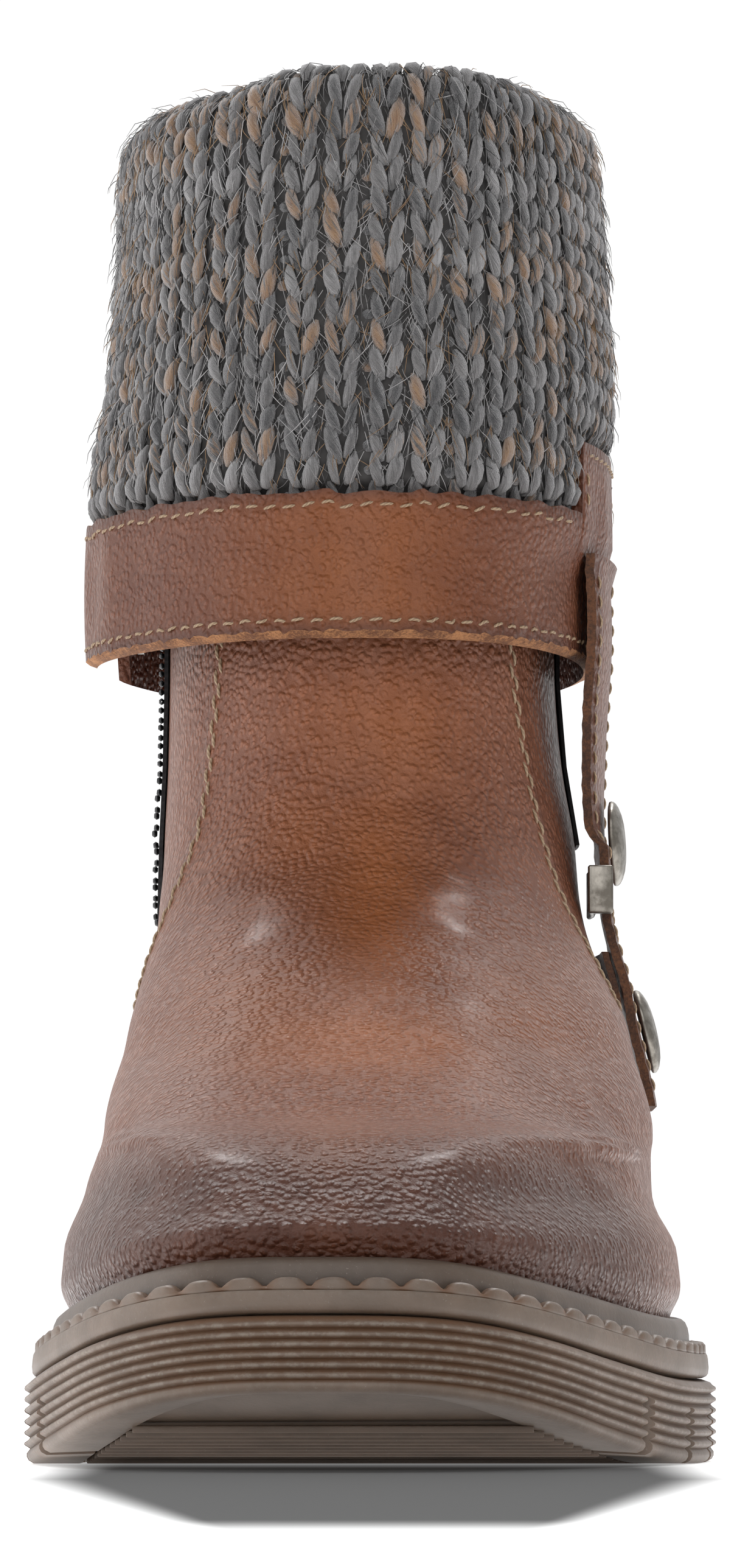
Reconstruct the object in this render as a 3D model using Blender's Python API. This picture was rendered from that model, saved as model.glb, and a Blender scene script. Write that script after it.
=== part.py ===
"""Sweater boot for the left foot, standing empty on its sole.

Metres, +Z up. The toe points to -Y, the outer (lateral) side of the foot is +X and the
zip is on the inner (medial) side, -X. The origin is under the middle of the sole, on the
plane it stands on.
"""

import math
from collections import namedtuple

import bmesh
import bpy
from mathutils import Vector
from mathutils.bvhtree import BVHTree

# Driving sizes
SOLE_LENGTH = 0.2800
BALL_WIDTH = 0.1085
SEAT_HEIGHT = 0.0350
TOE_LIFT = 0.0111
HEEL_LENGTH_SHARE = 0.34
FIT_GAP = 0.0003

# Sole layers, as insets from the ribbed edge and shares of the sole's local thickness
RIB_DEPTH = 0.0009
RIB_COUNT = 6
FLANGE_INSET = 0.00125
BEAD_OUTER_INSET = 0.0016
BEAD_INNER_INSET = 0.0039
BEAD_PITCH = 0.0066
BEAD_HEIGHT = 0.0013
BEAD_BASE = 0.0006
WELT_OUTER_INSET = 0.00425
WELT_WIDTH = 0.0026
FLANGE_TOP_SHARE = 0.26
FLANGE_BOTTOM_SHARE = 0.43
RIBS_BOTTOM_SHARE = 0.90
SOLE_EDGE_RADIUS = 0.0015
HEEL_RIB_COUNT = 3
HEEL_LIP_RIBS = 0.5
RIB_CREST_PLACE = 0.55
RIB_MARGIN_SHARE = 0.02
LIP_INSET = 0.0004
LIP_SHARE = 0.03
FLANGE_ROUND_SHARE = 0.03
FLANGE_ROUND_INSET = 0.0005
WELT_SIDE_SHARE = 0.08
WELT_SHOULDER_SHARE = 0.02
WELT_SHOULDER_INSET = 0.0008
WELT_CROWN = 0.62
WELT_INNER_SHARE = 0.03

# Tread notches
NOTCH_WIDTH = 0.0028
NOTCH_HEIGHT = 0.0085
NOTCH_REACH = 0.0060
GROOVE_DEPTH = 0.0025
FOREFOOT_NOTCH_SHARES = (0.16, 0.235, 0.31, 0.385)
HEEL_NOTCH_SHARES = (0.78, 0.88)

# Upper
UPPER_WALL = 0.0022
PANEL_STEP = 0.0009
SEAM_STEP_SHARE = 0.010
UPPER_WIDTH = 0.0970
SHAFT_TOP = 0.1720
INSOLE_THICKNESS = 0.0030
INSOLE_GAP = 0.0009

# Knit cuff and its leather band
CUFF_TOP = 0.2350
CUFF_WIDTH = 0.0875
CUFF_DEPTH = 0.1200
CUFF_FRONT_Y = 0.0080
CUFF_MIDDLE_X = -0.0018
KNIT_THICKNESS = 0.0040
KNIT_BOTTOM = 0.1450
BAND_BOTTOM = 0.1370
BAND_TOP = 0.1615
BAND_THICKNESS = 0.0020
CUFF_FLARE = 0.0060
CUFF_FLARE_FORWARD = 0.70
CUFF_FLARE_SPREAD = 1.15
CUFF_DRAW_IN = 0.0030
DRAW_IN_TOP = 0.1595
DRAW_IN_BOTTOM = 0.1495
SLIT_TOP = 0.2000
SLIT_WIDTH = 0.0280
SLIT_MIDDLE_Y = 0.0715
SLIT_TIP = 0.0006
SLIT_REACH_OUT = 0.0200
SLIT_BELOW = 0.0020
BAND_SLIT_REACH_IN = 0.0110
KNIT_SLIT_MARGIN = 0.0005
TAB_TOP = 0.1740
TAB_START = 0.314
TAB_END = 0.530
KNIT_SWELL_HEIGHT = 0.0030
KNIT_SWELL_INSET = 0.0006
INNER_FLAP_SHARE = 0.80
INNER_FOLD_TOP = 0.925
INNER_FOLD_SIDE = 0.86
INNER_FOLD_OUT = 0.25

# Side strap
STRAP_WIDTH = 0.0250
STRAP_THICKNESS = 0.0019
STRAP_MIDDLE_Y = 0.0510
UNDERLAY_THICKNESS = 0.0014
UNDERLAY_TOP = 0.0860
UNDERLAY_BOTTOM = 0.0510
UNDERLAY_STEPS = 9
STRAP_ACROSS_STEPS = 6
SIDE_REACH = 0.0036
RIVET_RADIUS = 0.0074
RIVET_DOME = 0.0026
RIVET_HEIGHTS = (0.1055, 0.0727)
RIVET_SIDES = 16
LOOP_HEIGHT = 0.0083
LOOP_MIDDLE_Z = 0.0966
LOOP_PLATE = 0.0010
LOOP_PLATE_LENGTH = 0.0140
LOOP_EDGE = 0.0003
LOOP_BAR_WIDTH = 0.0026
LOOP_BAR_DEPTH = 0.0042

# Zip and gore
ZIP_BOTTOM_ROW = 8
ZIP_TOP_Y = 0.0680
ZIP_BOTTOM_Y = 0.0500
ZIP_BEND_LEVEL = 0.70
ZIP_BOTTOM_LEVEL = 0.30
TAPE_WIDTH = 0.0100
TAPE_THICKNESS = 0.0007
TEETH_WIDTH = 0.0046
TEETH_HEIGHT = 0.0011
TEETH_PITCH = 0.0040
TEETH_NARROW_SHARE = 0.62
SLIDER_WIDTH = 0.0066
SLIDER_LENGTH = 0.0100
SLIDER_THICKNESS = 0.0024
SLIDER_MIDDLE_Z = 0.1630
PULL_LENGTH = 0.0220
PULL_WIDTH = 0.0062
PULL_THICKNESS = 0.0012
PULL_BAR_SIDES = 12
PULL_CLEARANCE = 0.0005
BRIDGE_WIDTH = 0.0020
BRIDGE_THICKNESS = 0.0012
POST_WIDTH = 0.0018
JOINT_BITE = 0.0002
GORE_THICKNESS = 0.0006

# Mesh steps
SOLE_SIDE_STEPS = 26
CUFF_STEPS = 42
PANEL_COLUMNS = 6
SIDE_COLUMNS = 3
BACK_COLUMNS = 7
TAB_EDGE_SHARE = 0.002
PLAN_ANGLE_STEP = 0.004
CUFF_ANGLE_STEP = 0.02

# One row for each station along the sole, from the toe tip to the heel end.
# middle and half are shares of BALL_WIDTH, seat of SEAT_HEIGHT, ground of TOE_LIFT.
# half is the half width before the ends are rounded.
Station = namedtuple("Station", "share middle half seat ground")
STATIONS = (
    Station(0.00, -0.066, 0.490, 0.877, 1.000),
    Station(0.06, -0.060, 0.500, 0.800, 0.640),
    Station(0.12, -0.048, 0.505, 0.737, 0.330),
    Station(0.20, -0.028, 0.519, 0.670, 0.060),
    Station(0.28, -0.008, 0.519, 0.643, 0.000),
    Station(0.38, 0.014, 0.497, 0.650, 0.000),
    Station(0.46, 0.028, 0.450, 0.672, 0.000),
    Station(0.54, 0.032, 0.404, 0.720, 0.240),
    Station(0.62, 0.030, 0.386, 0.800, 0.560),
    Station(0.70, 0.021, 0.388, 0.890, 0.850),
    Station(0.80, 0.010, 0.413, 0.960, 1.050),
    Station(0.90, 0.000, 0.445, 0.990, 1.120),
    Station(1.00, 0.000, 0.450, 1.000, 1.130),
)
END_ROUNDNESS = 0.65
SHAFT_ROUNDNESS = 0.90
CUFF_ROUNDNESS = 0.82

# The upper's lasting edge, ring by ring from the midsole up. inset: from the welt's inner
# face, share of WELT_WIDTH. lift: height over the seat line, share of SEAT_HEIGHT, where
# the first ring stands on the midsole.
Lasting = namedtuple("Lasting", "inset lift")
LASTING_RINGS = (
    Lasting(0.30, None),
    Lasting(0.22, -0.010),
    Lasting(-0.44, 0.110),
)
LASTING_SEAM = 0.400

# One row for each ring of the upper over its lasting edge, to the shaft's top.
# lift: height over the seat line, share of SEAT_HEIGHT. level: height, share of SHAFT_TOP.
# blend: 0 follows the seat line, 1 is level. front and back: places of the ring's ends,
# shares of SOLE_LENGTH from the middle. medial and lateral: half widths, shares of
# UPPER_WIDTH. round: 0 has the foot's plan, 1 is an oval. seam: place of the front
# panel's edge, share of the way round from front to back. step: share of PANEL_STEP.
Ring = namedtuple("Ring", "lift level blend front back medial lateral round seam step")
RINGS = (
    Ring(0.240, 0.000, 0.00, -0.4690, 0.4750, 0.5010, 0.5000, 0.00, 0.400, 0.0),
    Ring(0.400, 0.2674, 0.60, -0.4410, 0.4750, 0.4920, 0.4870, 0.00, 0.400, 0.0),
    Ring(0.520, 0.2878, 0.85, -0.4070, 0.4745, 0.4770, 0.4810, 0.00, 0.400, 0.0),
    Ring(0.570, 0.2977, 0.90, -0.3750, 0.4735, 0.4710, 0.4780, 0.00, 0.400, 0.0),
    Ring(0.600, 0.3040, 0.95, -0.3440, 0.4725, 0.4690, 0.4765, 0.00, 0.400, 0.0),
    Ring(0.700, 0.3198, 1.00, -0.3080, 0.4710, 0.4630, 0.4735, 0.00, 0.403, 0.0),
    Ring(0.800, 0.3488, 1.00, -0.2620, 0.4690, 0.4520, 0.4650, 0.10, 0.406, 0.0),
    Ring(0.900, 0.3837, 1.00, -0.2080, 0.4650, 0.4390, 0.4520, 0.25, 0.408, 0.0),
    Ring(1.000, 0.4273, 1.00, -0.1470, 0.4590, 0.4240, 0.4340, 0.40, 0.405, 0.8),
    Ring(1.000, 0.4826, 1.00, -0.0800, 0.4510, 0.4080, 0.4010, 0.60, 0.375, 1.0),
    Ring(1.000, 0.5465, 1.00, -0.0180, 0.4410, 0.3950, 0.3735, 0.80, 0.325, 1.0),
    Ring(1.000, 0.6163, 1.00, 0.0250, 0.4320, 0.3840, 0.3630, 0.95, 0.285, 1.0),
    Ring(1.000, 0.6977, 1.00, 0.0480, 0.4260, 0.3760, 0.3400, 1.00, 0.272, 1.0),
    Ring(1.000, 0.7849, 1.00, 0.0560, 0.4235, 0.3735, 0.3280, 1.00, 0.258, 1.0),
    Ring(1.000, 0.8837, 1.00, 0.0580, 0.4240, 0.3735, 0.3280, 1.00, 0.258, 1.0),
    Ring(1.000, 1.0000, 1.00, 0.0580, 0.4270, 0.3750, 0.3300, 1.00, 0.258, 1.0),
)

# The cuff's section, from the outer flap's lower edge over the top roll to the inner
# flap's lower edge. out: share of the way from the shaft's outline (0) to the cuff's (1).
# height: share of the way from KNIT_BOTTOM to CUFF_TOP.
Fold = namedtuple("Fold", "out height")
CUFF_OUTER_FACE = (
    Fold(1.03, 0.450),
    Fold(1.02, 0.700),
    Fold(0.99, 0.870),
    Fold(0.84, 0.965),
    Fold(0.52, 1.000),
    Fold(0.10, 0.985),
    Fold(-0.22, 0.930),
    Fold(-0.34, 0.850),
)

# The strap's run down the side. out: outer face's x at its widest line. crown: how far
# its front edge lies in from there, share of STRAP_WIDTH.
Rung = namedtuple("Rung", "height out crown")
STRAP_RUN = (
    Rung(0.0595, 0.0486, 0.00),
    Rung(0.0660, 0.0476, 0.02),
    Rung(0.0740, 0.0460, 0.04),
    Rung(0.0820, 0.0440, 0.06),
    Rung(0.0910, 0.0422, 0.08),
    Rung(0.0966, 0.0412, 0.09),
    Rung(0.1025, 0.0406, 0.10),
    Rung(0.1080, 0.0404, 0.10),
    Rung(0.1140, 0.0403, 0.11),
    Rung(0.1210, 0.0406, 0.12),
    Rung(0.1290, 0.0410, 0.13),
    Rung(0.1380, 0.0417, 0.13),
    Rung(0.1470, 0.0418, 0.13),
    Rung(0.1550, 0.0412, 0.13),
)

# A rivet's cap from its rim up, as shares of RIVET_RADIUS and RIVET_DOME
RIVET_PROFILE = ((1.0, 0.0), (1.0, 0.25), (0.88, 0.62), (0.50, 0.93))

# Colours and finish of each material: colour, metallic, roughness
Finish = namedtuple("Finish", "colour metallic roughness")
LEATHER = Finish((0.30, 0.115, 0.055, 1.0), 0.0, 0.42)
RUBBER = Finish((0.21, 0.145, 0.105, 1.0), 0.0, 0.45)
KNIT = Finish((0.115, 0.120, 0.130, 1.0), 0.0, 0.95)
BLACK = Finish((0.020, 0.019, 0.020, 1.0), 0.0, 0.80)
LINING = Finish((0.060, 0.052, 0.048, 1.0), 0.0, 0.90)
METAL = Finish((0.33, 0.31, 0.28, 1.0), 1.0, 0.30)
CHAIN = Finish((0.030, 0.030, 0.032, 1.0), 1.0, 0.38)


def table_value(table, key, column, place):
    """A column's value at a place between the rows of a table, on a smooth curve."""
    places = [getattr(row, key) for row in table]
    values = [getattr(row, column) for row in table]
    last = len(places) - 1
    place = min(max(place, places[0]), places[-1])
    row = next(i for i in range(last) if place <= places[i + 1])
    width = places[row + 1] - places[row]
    share = (place - places[row]) / width

    def slope(at):
        low, high = max(at - 1, 0), min(at + 1, last)
        return (values[high] - values[low]) / (places[high] - places[low])

    start, end = values[row], values[row + 1]
    square, cube = share * share, share**3
    return (
        (2 * cube - 3 * square + 1) * start
        + (cube - 2 * square + share) * width * slope(row)
        + (3 * square - 2 * cube) * end
        + (cube - square) * width * slope(row + 1)
    )


def station(column, share):
    """A column of the sole's table at a share of its length."""
    return table_value(STATIONS, "share", column, share)


def seat_z(share):
    """Height of the line where the upper leaves the welt."""
    return station("seat", share) * SEAT_HEIGHT


def ground_z(share):
    """Height of the outsole's underside."""
    return max(station("ground", share), 0.0) * TOE_LIFT


def layer_z(share, down):
    """Height of a layer line, at a share of the sole's thickness below the seat."""
    return seat_z(share) - down * (seat_z(share) - ground_z(share))


def side_angles(steps):
    """Angles round an outline: toe, lateral side, heel, medial side."""
    return [math.pi * i / steps for i in range(2 * steps)]


def plan_reach(angle):
    """How far out the outline lies at an angle from the toe, in the table's shares."""
    share = (1 - math.cos(angle)) / 2
    side = 1 if angle <= math.pi else -1
    reach = abs(math.sin(angle)) ** END_ROUNDNESS * station("half", share)
    return station("middle", share) + side * reach


PLAN_REACHES = [plan_reach(angle) for angle in side_angles(SOLE_SIDE_STEPS)]
PLAN_SPAN = max(PLAN_REACHES) - min(PLAN_REACHES)
PLAN_MIDDLE = (max(PLAN_REACHES) + min(PLAN_REACHES)) / 2


def foot_plan(angle):
    """The sole's outline at an angle from the toe: x, y and the share of the length."""
    share = (1 - math.cos(angle)) / 2
    x = (plan_reach(angle) - PLAN_MIDDLE) / PLAN_SPAN * BALL_WIDTH
    return Vector((x, (share - 0.5) * SOLE_LENGTH)), share


def inset_plan(angle, inset):
    """The sole's outline moved in by an inset, with the share of the length."""
    before, _ = foot_plan((angle - PLAN_ANGLE_STEP) % (2 * math.pi))
    after, _ = foot_plan((angle + PLAN_ANGLE_STEP) % (2 * math.pi))
    here, share = foot_plan(angle)
    along = (after - before).normalized()
    inward = Vector((-along.y, along.x))
    return here + inward * inset, share


def sole_ring(inset, down, steps=SOLE_SIDE_STEPS, lift=0.0):
    """One ring of the sole: inset from the ribs, at a share of the thickness."""
    ring = []
    for angle in side_angles(steps):
        spot, share = inset_plan(angle, inset)
        ring.append(Vector((spot.x, spot.y, layer_z(share, down) + lift)))
    return ring


def make_material(name, finish):
    """A Principled material with one colour."""
    material = bpy.data.materials.new(name)
    material.use_nodes = True
    shader = material.node_tree.nodes["Principled BSDF"]
    shader.inputs["Base Color"].default_value = finish.colour
    shader.inputs["Metallic"].default_value = finish.metallic
    shader.inputs["Roughness"].default_value = finish.roughness
    return material


def make_object(name, points, faces, finish, sharp_degrees=35):
    """A named closed mesh object, faces outward, with a material of its own."""
    mesh = bpy.data.meshes.new(name)
    mesh.from_pydata([tuple(point) for point in points], [], faces)
    work = bmesh.new()
    work.from_mesh(mesh)
    bmesh.ops.recalc_face_normals(work, faces=work.faces)
    work.to_mesh(mesh)
    work.free()
    mesh.shade_smooth()
    mesh.set_sharp_from_angle(angle=math.radians(sharp_degrees))
    made = bpy.data.objects.new(name, mesh)
    made.data.materials.append(make_material(name, finish))
    bpy.context.scene.collection.objects.link(made)
    return made


def wall_faces(rings, count):
    """Quads between neighbouring rings of count points each."""
    faces = []
    for row in range(rings - 1):
        for i in range(count):
            j = (i + 1) % count
            faces.append((row * count + i, row * count + j,
                          (row + 1) * count + j, (row + 1) * count + i))
    return faces


def plate_cap(start, count):
    """Strips straight across one ring, from side to side, toe to heel."""
    half = count // 2
    faces = [(start, start + 1, start + count - 1)]
    for i in range(1, half - 1):
        faces.append((start + i, start + i + 1, start + count - i - 1, start + count - i))
    faces.append((start + half - 1, start + half, start + half + 1))
    return faces


def make_plate(name, rings, finish):
    """A full plate through a stack of rings, capped at both ends."""
    count = len(rings[0])
    points = [point for ring in rings for point in ring]
    faces = wall_faces(len(rings), count)
    faces += plate_cap(0, count) + plate_cap((len(rings) - 1) * count, count)
    return make_object(name, points, faces, finish)


def make_tube(name, rings, finish):
    """A solid through rings that closes on itself: the last ring meets the first."""
    count = len(rings[0])
    points = [point for ring in rings for point in ring]
    faces = wall_faces(len(rings), count)
    last = (len(rings) - 1) * count
    for i in range(count):
        j = (i + 1) % count
        faces.append((last + i, last + j, j, i))
    return make_object(name, points, faces, finish)


def add_cutter(target, name, boxes):
    """Cut closed boxes, each eight corners, out of a piece."""
    points = []
    faces = []
    for corners in boxes:
        start = len(points)
        points += corners
        for face in ((0, 1, 3, 2), (4, 6, 7, 5), (0, 4, 5, 1),
                     (2, 3, 7, 6), (0, 2, 6, 4), (1, 5, 7, 3)):
            faces.append([start + i for i in face])
    cutter = make_object(name, points, faces, BLACK)
    cutter.hide_render = True
    cutter.display_type = "WIRE"
    cut = target.modifiers.new(name, "BOOLEAN")
    cut.operation = "DIFFERENCE"
    cut.use_self = True
    cut.object = cutter


def box_corners(middle, size, turn=0.0):
    """Eight corners of a box turned about Z."""
    corners = []
    for x in (-0.5, 0.5):
        for y in (-0.5, 0.5):
            for z in (-0.5, 0.5):
                along = Vector((x * size[0], y * size[1]))
                across = Vector((along.x * math.cos(turn) - along.y * math.sin(turn),
                                 along.x * math.sin(turn) + along.y * math.cos(turn)))
                corners.append(Vector((middle[0] + across.x, middle[1] + across.y,
                                       middle[2] + z * size[2])))
    return corners


def notch_boxes(shares, floor):
    """Side notches and the groove between them, at shares of the sole's length.

    floor(share) is the height of the surface that they are cut up from.
    """
    boxes = []
    for share in shares:
        angle = math.acos(1 - 2 * share)
        base = floor(share)
        for side in (angle, 2 * math.pi - angle):
            edge, _ = inset_plan(side, NOTCH_REACH / 2)
            height = 2 * NOTCH_HEIGHT
            boxes.append(box_corners((edge.x, edge.y, base),
                                     (2 * NOTCH_REACH, NOTCH_WIDTH, height)))
        across = [foot_plan(side)[0].x for side in (angle, 2 * math.pi - angle)]
        length = across[0] - across[1] - 2 * NOTCH_REACH - NOTCH_WIDTH
        boxes.append(box_corners((sum(across) / 2, (share - 0.5) * SOLE_LENGTH, base),
                                 (length, NOTCH_WIDTH, 2 * GROOVE_DEPTH)))
    return boxes


def rib_rings(top, bottom, count, steps=SOLE_SIDE_STEPS):
    """Rings of a ribbed wall from top to bottom share, crest after valley."""
    rings = []
    pitch = (bottom - top) / count
    for rib in range(count):
        rings.append(sole_ring(RIB_DEPTH, top + pitch * rib, steps))
        rings.append(sole_ring(0.0, top + pitch * (rib + RIB_CREST_PLACE), steps))
    rings.append(sole_ring(RIB_DEPTH, bottom, steps))
    return rings


def make_outsole():
    """Moulded outsole: ribbed edge, lip, arch and side notches."""
    rings = [sole_ring(FLANGE_INSET + RIB_DEPTH, FLANGE_BOTTOM_SHARE)]
    rings += rib_rings(FLANGE_BOTTOM_SHARE + RIB_MARGIN_SHARE, RIBS_BOTTOM_SHARE, RIB_COUNT)
    rings.append(sole_ring(LIP_INSET, RIBS_BOTTOM_SHARE + LIP_SHARE))
    rings.append(sole_ring(SOLE_EDGE_RADIUS, 1.0))
    sole = make_plate("outsole", rings, RUBBER)
    add_cutter(sole, "tread_cutter", notch_boxes(FOREFOOT_NOTCH_SHARES, ground_z))


def heel_angle_range():
    """Angles of the outline that lie over the heel block."""
    breast = math.acos(1 - 2 * (1 - HEEL_LENGTH_SHARE))
    return breast, 2 * math.pi - breast


def heel_ring(inset, drop):
    """One ring of the heel block, at a share of its height below the outsole."""
    start, end = heel_angle_range()
    steps = SOLE_SIDE_STEPS
    ring = []
    for i in range(steps + 1):
        angle = start + (end - start) * i / steps
        spot, share = inset_plan(angle, inset)
        top = ground_z(share) - FIT_GAP
        ring.append(Vector((spot.x, spot.y, top * (1 - drop))))
    return ring


def make_heel():
    """Heel block under the outsole, ribbed like its edge, with a curved breast."""
    pitch = 1.0 / (HEEL_RIB_COUNT + HEEL_LIP_RIBS)
    rings = [heel_ring(RIB_DEPTH, 0.0)]
    for rib in range(HEEL_RIB_COUNT):
        rings.append(heel_ring(0.0, pitch * (rib + RIB_CREST_PLACE)))
        rings.append(heel_ring(RIB_DEPTH, pitch * (rib + 1)))
    rings.append(heel_ring(SOLE_EDGE_RADIUS, 1.0))
    count = len(rings[0])
    half = count // 2
    points = [point for ring in rings for point in ring]
    faces = wall_faces(len(rings), count)
    for start in (0, (len(rings) - 1) * count):
        for i in range(half - 1):
            faces.append((start + i, start + i + 1,
                          start + count - i - 2, start + count - i - 1))
        faces.append((start + half - 1, start + half, start + half + 1))
    heel = make_object("heel", points, faces, RUBBER)
    add_cutter(heel, "heel_cutter", notch_boxes(HEEL_NOTCH_SHARES, lambda share: 0.0))


def make_midsole():
    """Smooth flange over the ribs, which carries the upper and the welt."""
    gap = FIT_GAP
    rings = [
        sole_ring(FLANGE_INSET + RIB_DEPTH, FLANGE_BOTTOM_SHARE, lift=gap),
        sole_ring(FLANGE_INSET, FLANGE_BOTTOM_SHARE - RIB_MARGIN_SHARE, lift=gap),
        sole_ring(FLANGE_INSET, FLANGE_TOP_SHARE + FLANGE_ROUND_SHARE),
        sole_ring(FLANGE_INSET + FLANGE_ROUND_INSET, FLANGE_TOP_SHARE),
    ]
    make_plate("midsole", rings, RUBBER)


def outline_length(inset):
    """Length of the sole's outline at an inset."""
    spots = [inset_plan(angle, inset)[0] for angle in side_angles(90)]
    return sum((spots[i] - spots[i - 1]).length for i in range(len(spots)))


def even_angles(inset, count):
    """Angles whose outline points lie at even distances."""
    fine = side_angles(180) + [2 * math.pi]
    spots = [inset_plan(angle % (2 * math.pi), inset)[0] for angle in fine]
    run = [0.0]
    for i in range(1, len(spots)):
        run.append(run[-1] + (spots[i] - spots[i - 1]).length)
    angles = []
    place = 0
    for step in range(count):
        target = run[-1] * step / count
        while run[place + 1] < target:
            place += 1
        share = (target - run[place]) / (run[place + 1] - run[place])
        angles.append(fine[place] + (fine[place + 1] - fine[place]) * share)
    return angles


def make_bead_welt():
    """Row of beads that runs round the flange, outside the welt."""
    beads = round(outline_length(BEAD_OUTER_INSET) / BEAD_PITCH)
    angles = even_angles(BEAD_OUTER_INSET, 2 * beads)
    rings = [[], [], [], []]
    for place, angle in enumerate(angles):
        crest = BEAD_HEIGHT if place % 2 else 0.0
        outer, share = inset_plan(angle, BEAD_OUTER_INSET)
        inner, inner_share = inset_plan(angle, BEAD_INNER_INSET)
        base = layer_z(share, FLANGE_TOP_SHARE) + FIT_GAP
        inner_base = layer_z(inner_share, FLANGE_TOP_SHARE) + FIT_GAP
        top = BEAD_BASE + crest
        rings[0].append(Vector((outer.x, outer.y, base)))
        rings[1].append(Vector((outer.x, outer.y, base + top)))
        rings[2].append(Vector((inner.x, inner.y, inner_base + top)))
        rings[3].append(Vector((inner.x, inner.y, inner_base)))
    make_tube("bead_welt", rings, RUBBER)


def make_welt():
    """Smooth rounded rand that grips the upper's lower edge."""
    outer = WELT_OUTER_INSET
    inner = outer + WELT_WIDTH
    rings = [
        sole_ring(outer, FLANGE_TOP_SHARE, lift=FIT_GAP),
        sole_ring(outer, WELT_SIDE_SHARE),
        sole_ring(outer + WELT_SHOULDER_INSET, WELT_SHOULDER_SHARE),
        sole_ring(outer + WELT_WIDTH * WELT_CROWN, 0.0),
        sole_ring(inner, WELT_INNER_SHARE),
        sole_ring(inner, FLANGE_TOP_SHARE, lift=FIT_GAP),
    ]
    make_tube("welt", rings, RUBBER)


def zip_places(level):
    """Places along the boot of the tape's edges and middle, at a level of the upper."""
    rise = (level - ZIP_BOTTOM_LEVEL) / (ZIP_BEND_LEVEL - ZIP_BOTTOM_LEVEL)
    rise = min(max(rise, 0.0), 1.0)
    middle = ZIP_BOTTOM_Y + (ZIP_TOP_Y - ZIP_BOTTOM_Y) * rise
    return [middle - TAPE_WIDTH / 2, middle, middle + TAPE_WIDTH / 2]


def column_shares(seam, level, front, back):
    """Shares of the way round, front to back, where the upper's columns lie.

    seam is the front panel's edge, level the ring's height as a share of the shaft, and
    front and back are the ring's ends.
    """
    shares = [seam * i / PANEL_COLUMNS for i in range(PANEL_COLUMNS + 1)]
    start = seam + SEAM_STEP_SHARE
    zips = [math.acos(1 - 2 * (y - front) / (back - front)) / math.pi
            for y in zip_places(level)]
    gap = (zips[0] - start) / SIDE_COLUMNS
    shares += [start + gap * i for i in range(SIDE_COLUMNS)] + zips
    rest = 1 - shares[-1]
    shares += [1 - rest * (1 - i / BACK_COLUMNS) for i in range(1, BACK_COLUMNS + 1)]
    return shares


def oval_plan(angle):
    """Unit oval of the shaft, at an angle from the front."""
    side = 1 if angle <= math.pi else -1
    return Vector((side * abs(math.sin(angle)) ** SHAFT_ROUNDNESS, -math.cos(angle)))


def foot_reach():
    """Greatest reach of the foot's plan to each side, for scaling."""
    spots = [foot_plan(angle)[0].x for angle in side_angles(SOLE_SIDE_STEPS)]
    return -min(spots), max(spots)


MEDIAL_REACH, LATERAL_REACH = foot_reach()


def side_angle(share, side):
    """Angle of an outline at a share of the way from front to back, on one side."""
    return math.pi * share if side > 0 else (math.pi * (2 - share)) % (2 * math.pi)


def ring_spot(ring, share, side):
    """A point of the upper's outer face on one ring, without its panel step."""
    angle = side_angle(share, side)
    half_width = (ring.lateral if side > 0 else ring.medial) * UPPER_WIDTH
    reach = LATERAL_REACH if side > 0 else MEDIAL_REACH
    along = (1 - math.cos(angle)) / 2
    foot_x = foot_plan(angle)[0].x / reach
    x = (foot_x * (1 - ring.round) + oval_plan(angle).x * ring.round) * half_width
    y = (ring.front + (ring.back - ring.front) * along) * SOLE_LENGTH
    low = seat_z(y / SOLE_LENGTH + 0.5) + ring.lift * SEAT_HEIGHT
    return Vector((x, y, low * (1 - ring.blend) + ring.level * SHAFT_TOP * ring.blend))


def lasting_spot(ring, share, side):
    """A point of the upper's lasting edge, set in from the welt."""
    inset = WELT_OUTER_INSET + WELT_WIDTH * (1 + ring.inset)
    spot, place = inset_plan(side_angle(share, side), inset)
    if ring.lift is None:
        return Vector((spot.x, spot.y, layer_z(place, FLANGE_TOP_SHARE) + FIT_GAP))
    return Vector((spot.x, spot.y, seat_z(place) + ring.lift * SEAT_HEIGHT))


def round_ring(spot_at, ring, shares):
    """All the points of one ring: front, lateral side, back, medial side."""
    lateral = [spot_at(ring, share, 1) for share in shares]
    return lateral + [spot_at(ring, share, -1) for share in shares[-2:0:-1]]


def upper_grid():
    """The upper's outer points, ring by ring from the lasting edge up."""
    low_shares = column_shares(LASTING_SEAM, 0.0, -SOLE_LENGTH / 2, SOLE_LENGTH / 2)
    grid = [round_ring(lasting_spot, ring, low_shares) for ring in LASTING_RINGS]
    for ring in RINGS:
        ends = (ring.front * SOLE_LENGTH, ring.back * SOLE_LENGTH)
        shares = column_shares(ring.seam, ring.level, *ends)
        grid.append(round_ring(ring_spot, ring, shares))
    return grid


def grid_normals(grid):
    """Outward normals of a grid whose rings close round."""
    rows, count = len(grid), len(grid[0])
    normals = []
    for row in range(rows):
        line = []
        for i in range(count):
            around = grid[row][(i + 1) % count] - grid[row][i - 1]
            up = grid[min(row + 1, rows - 1)][i] - grid[max(row - 1, 0)][i]
            line.append(around.cross(up).normalized())
        normals.append(line)
    return normals


def stepped(grid, normals):
    """The grid with the front panel raised by its step."""
    count = len(grid[0])
    steps = [0.0] * len(LASTING_RINGS) + [ring.step for ring in RINGS]
    raised = []
    for step, line, ups in zip(steps, grid, normals):
        out = []
        for i, (point, up) in enumerate(zip(line, ups)):
            on_panel = i <= PANEL_COLUMNS or i >= count - PANEL_COLUMNS
            out.append(point + up * (PANEL_STEP * step if on_panel else 0.0))
        raised.append(out)
    return raised


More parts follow.
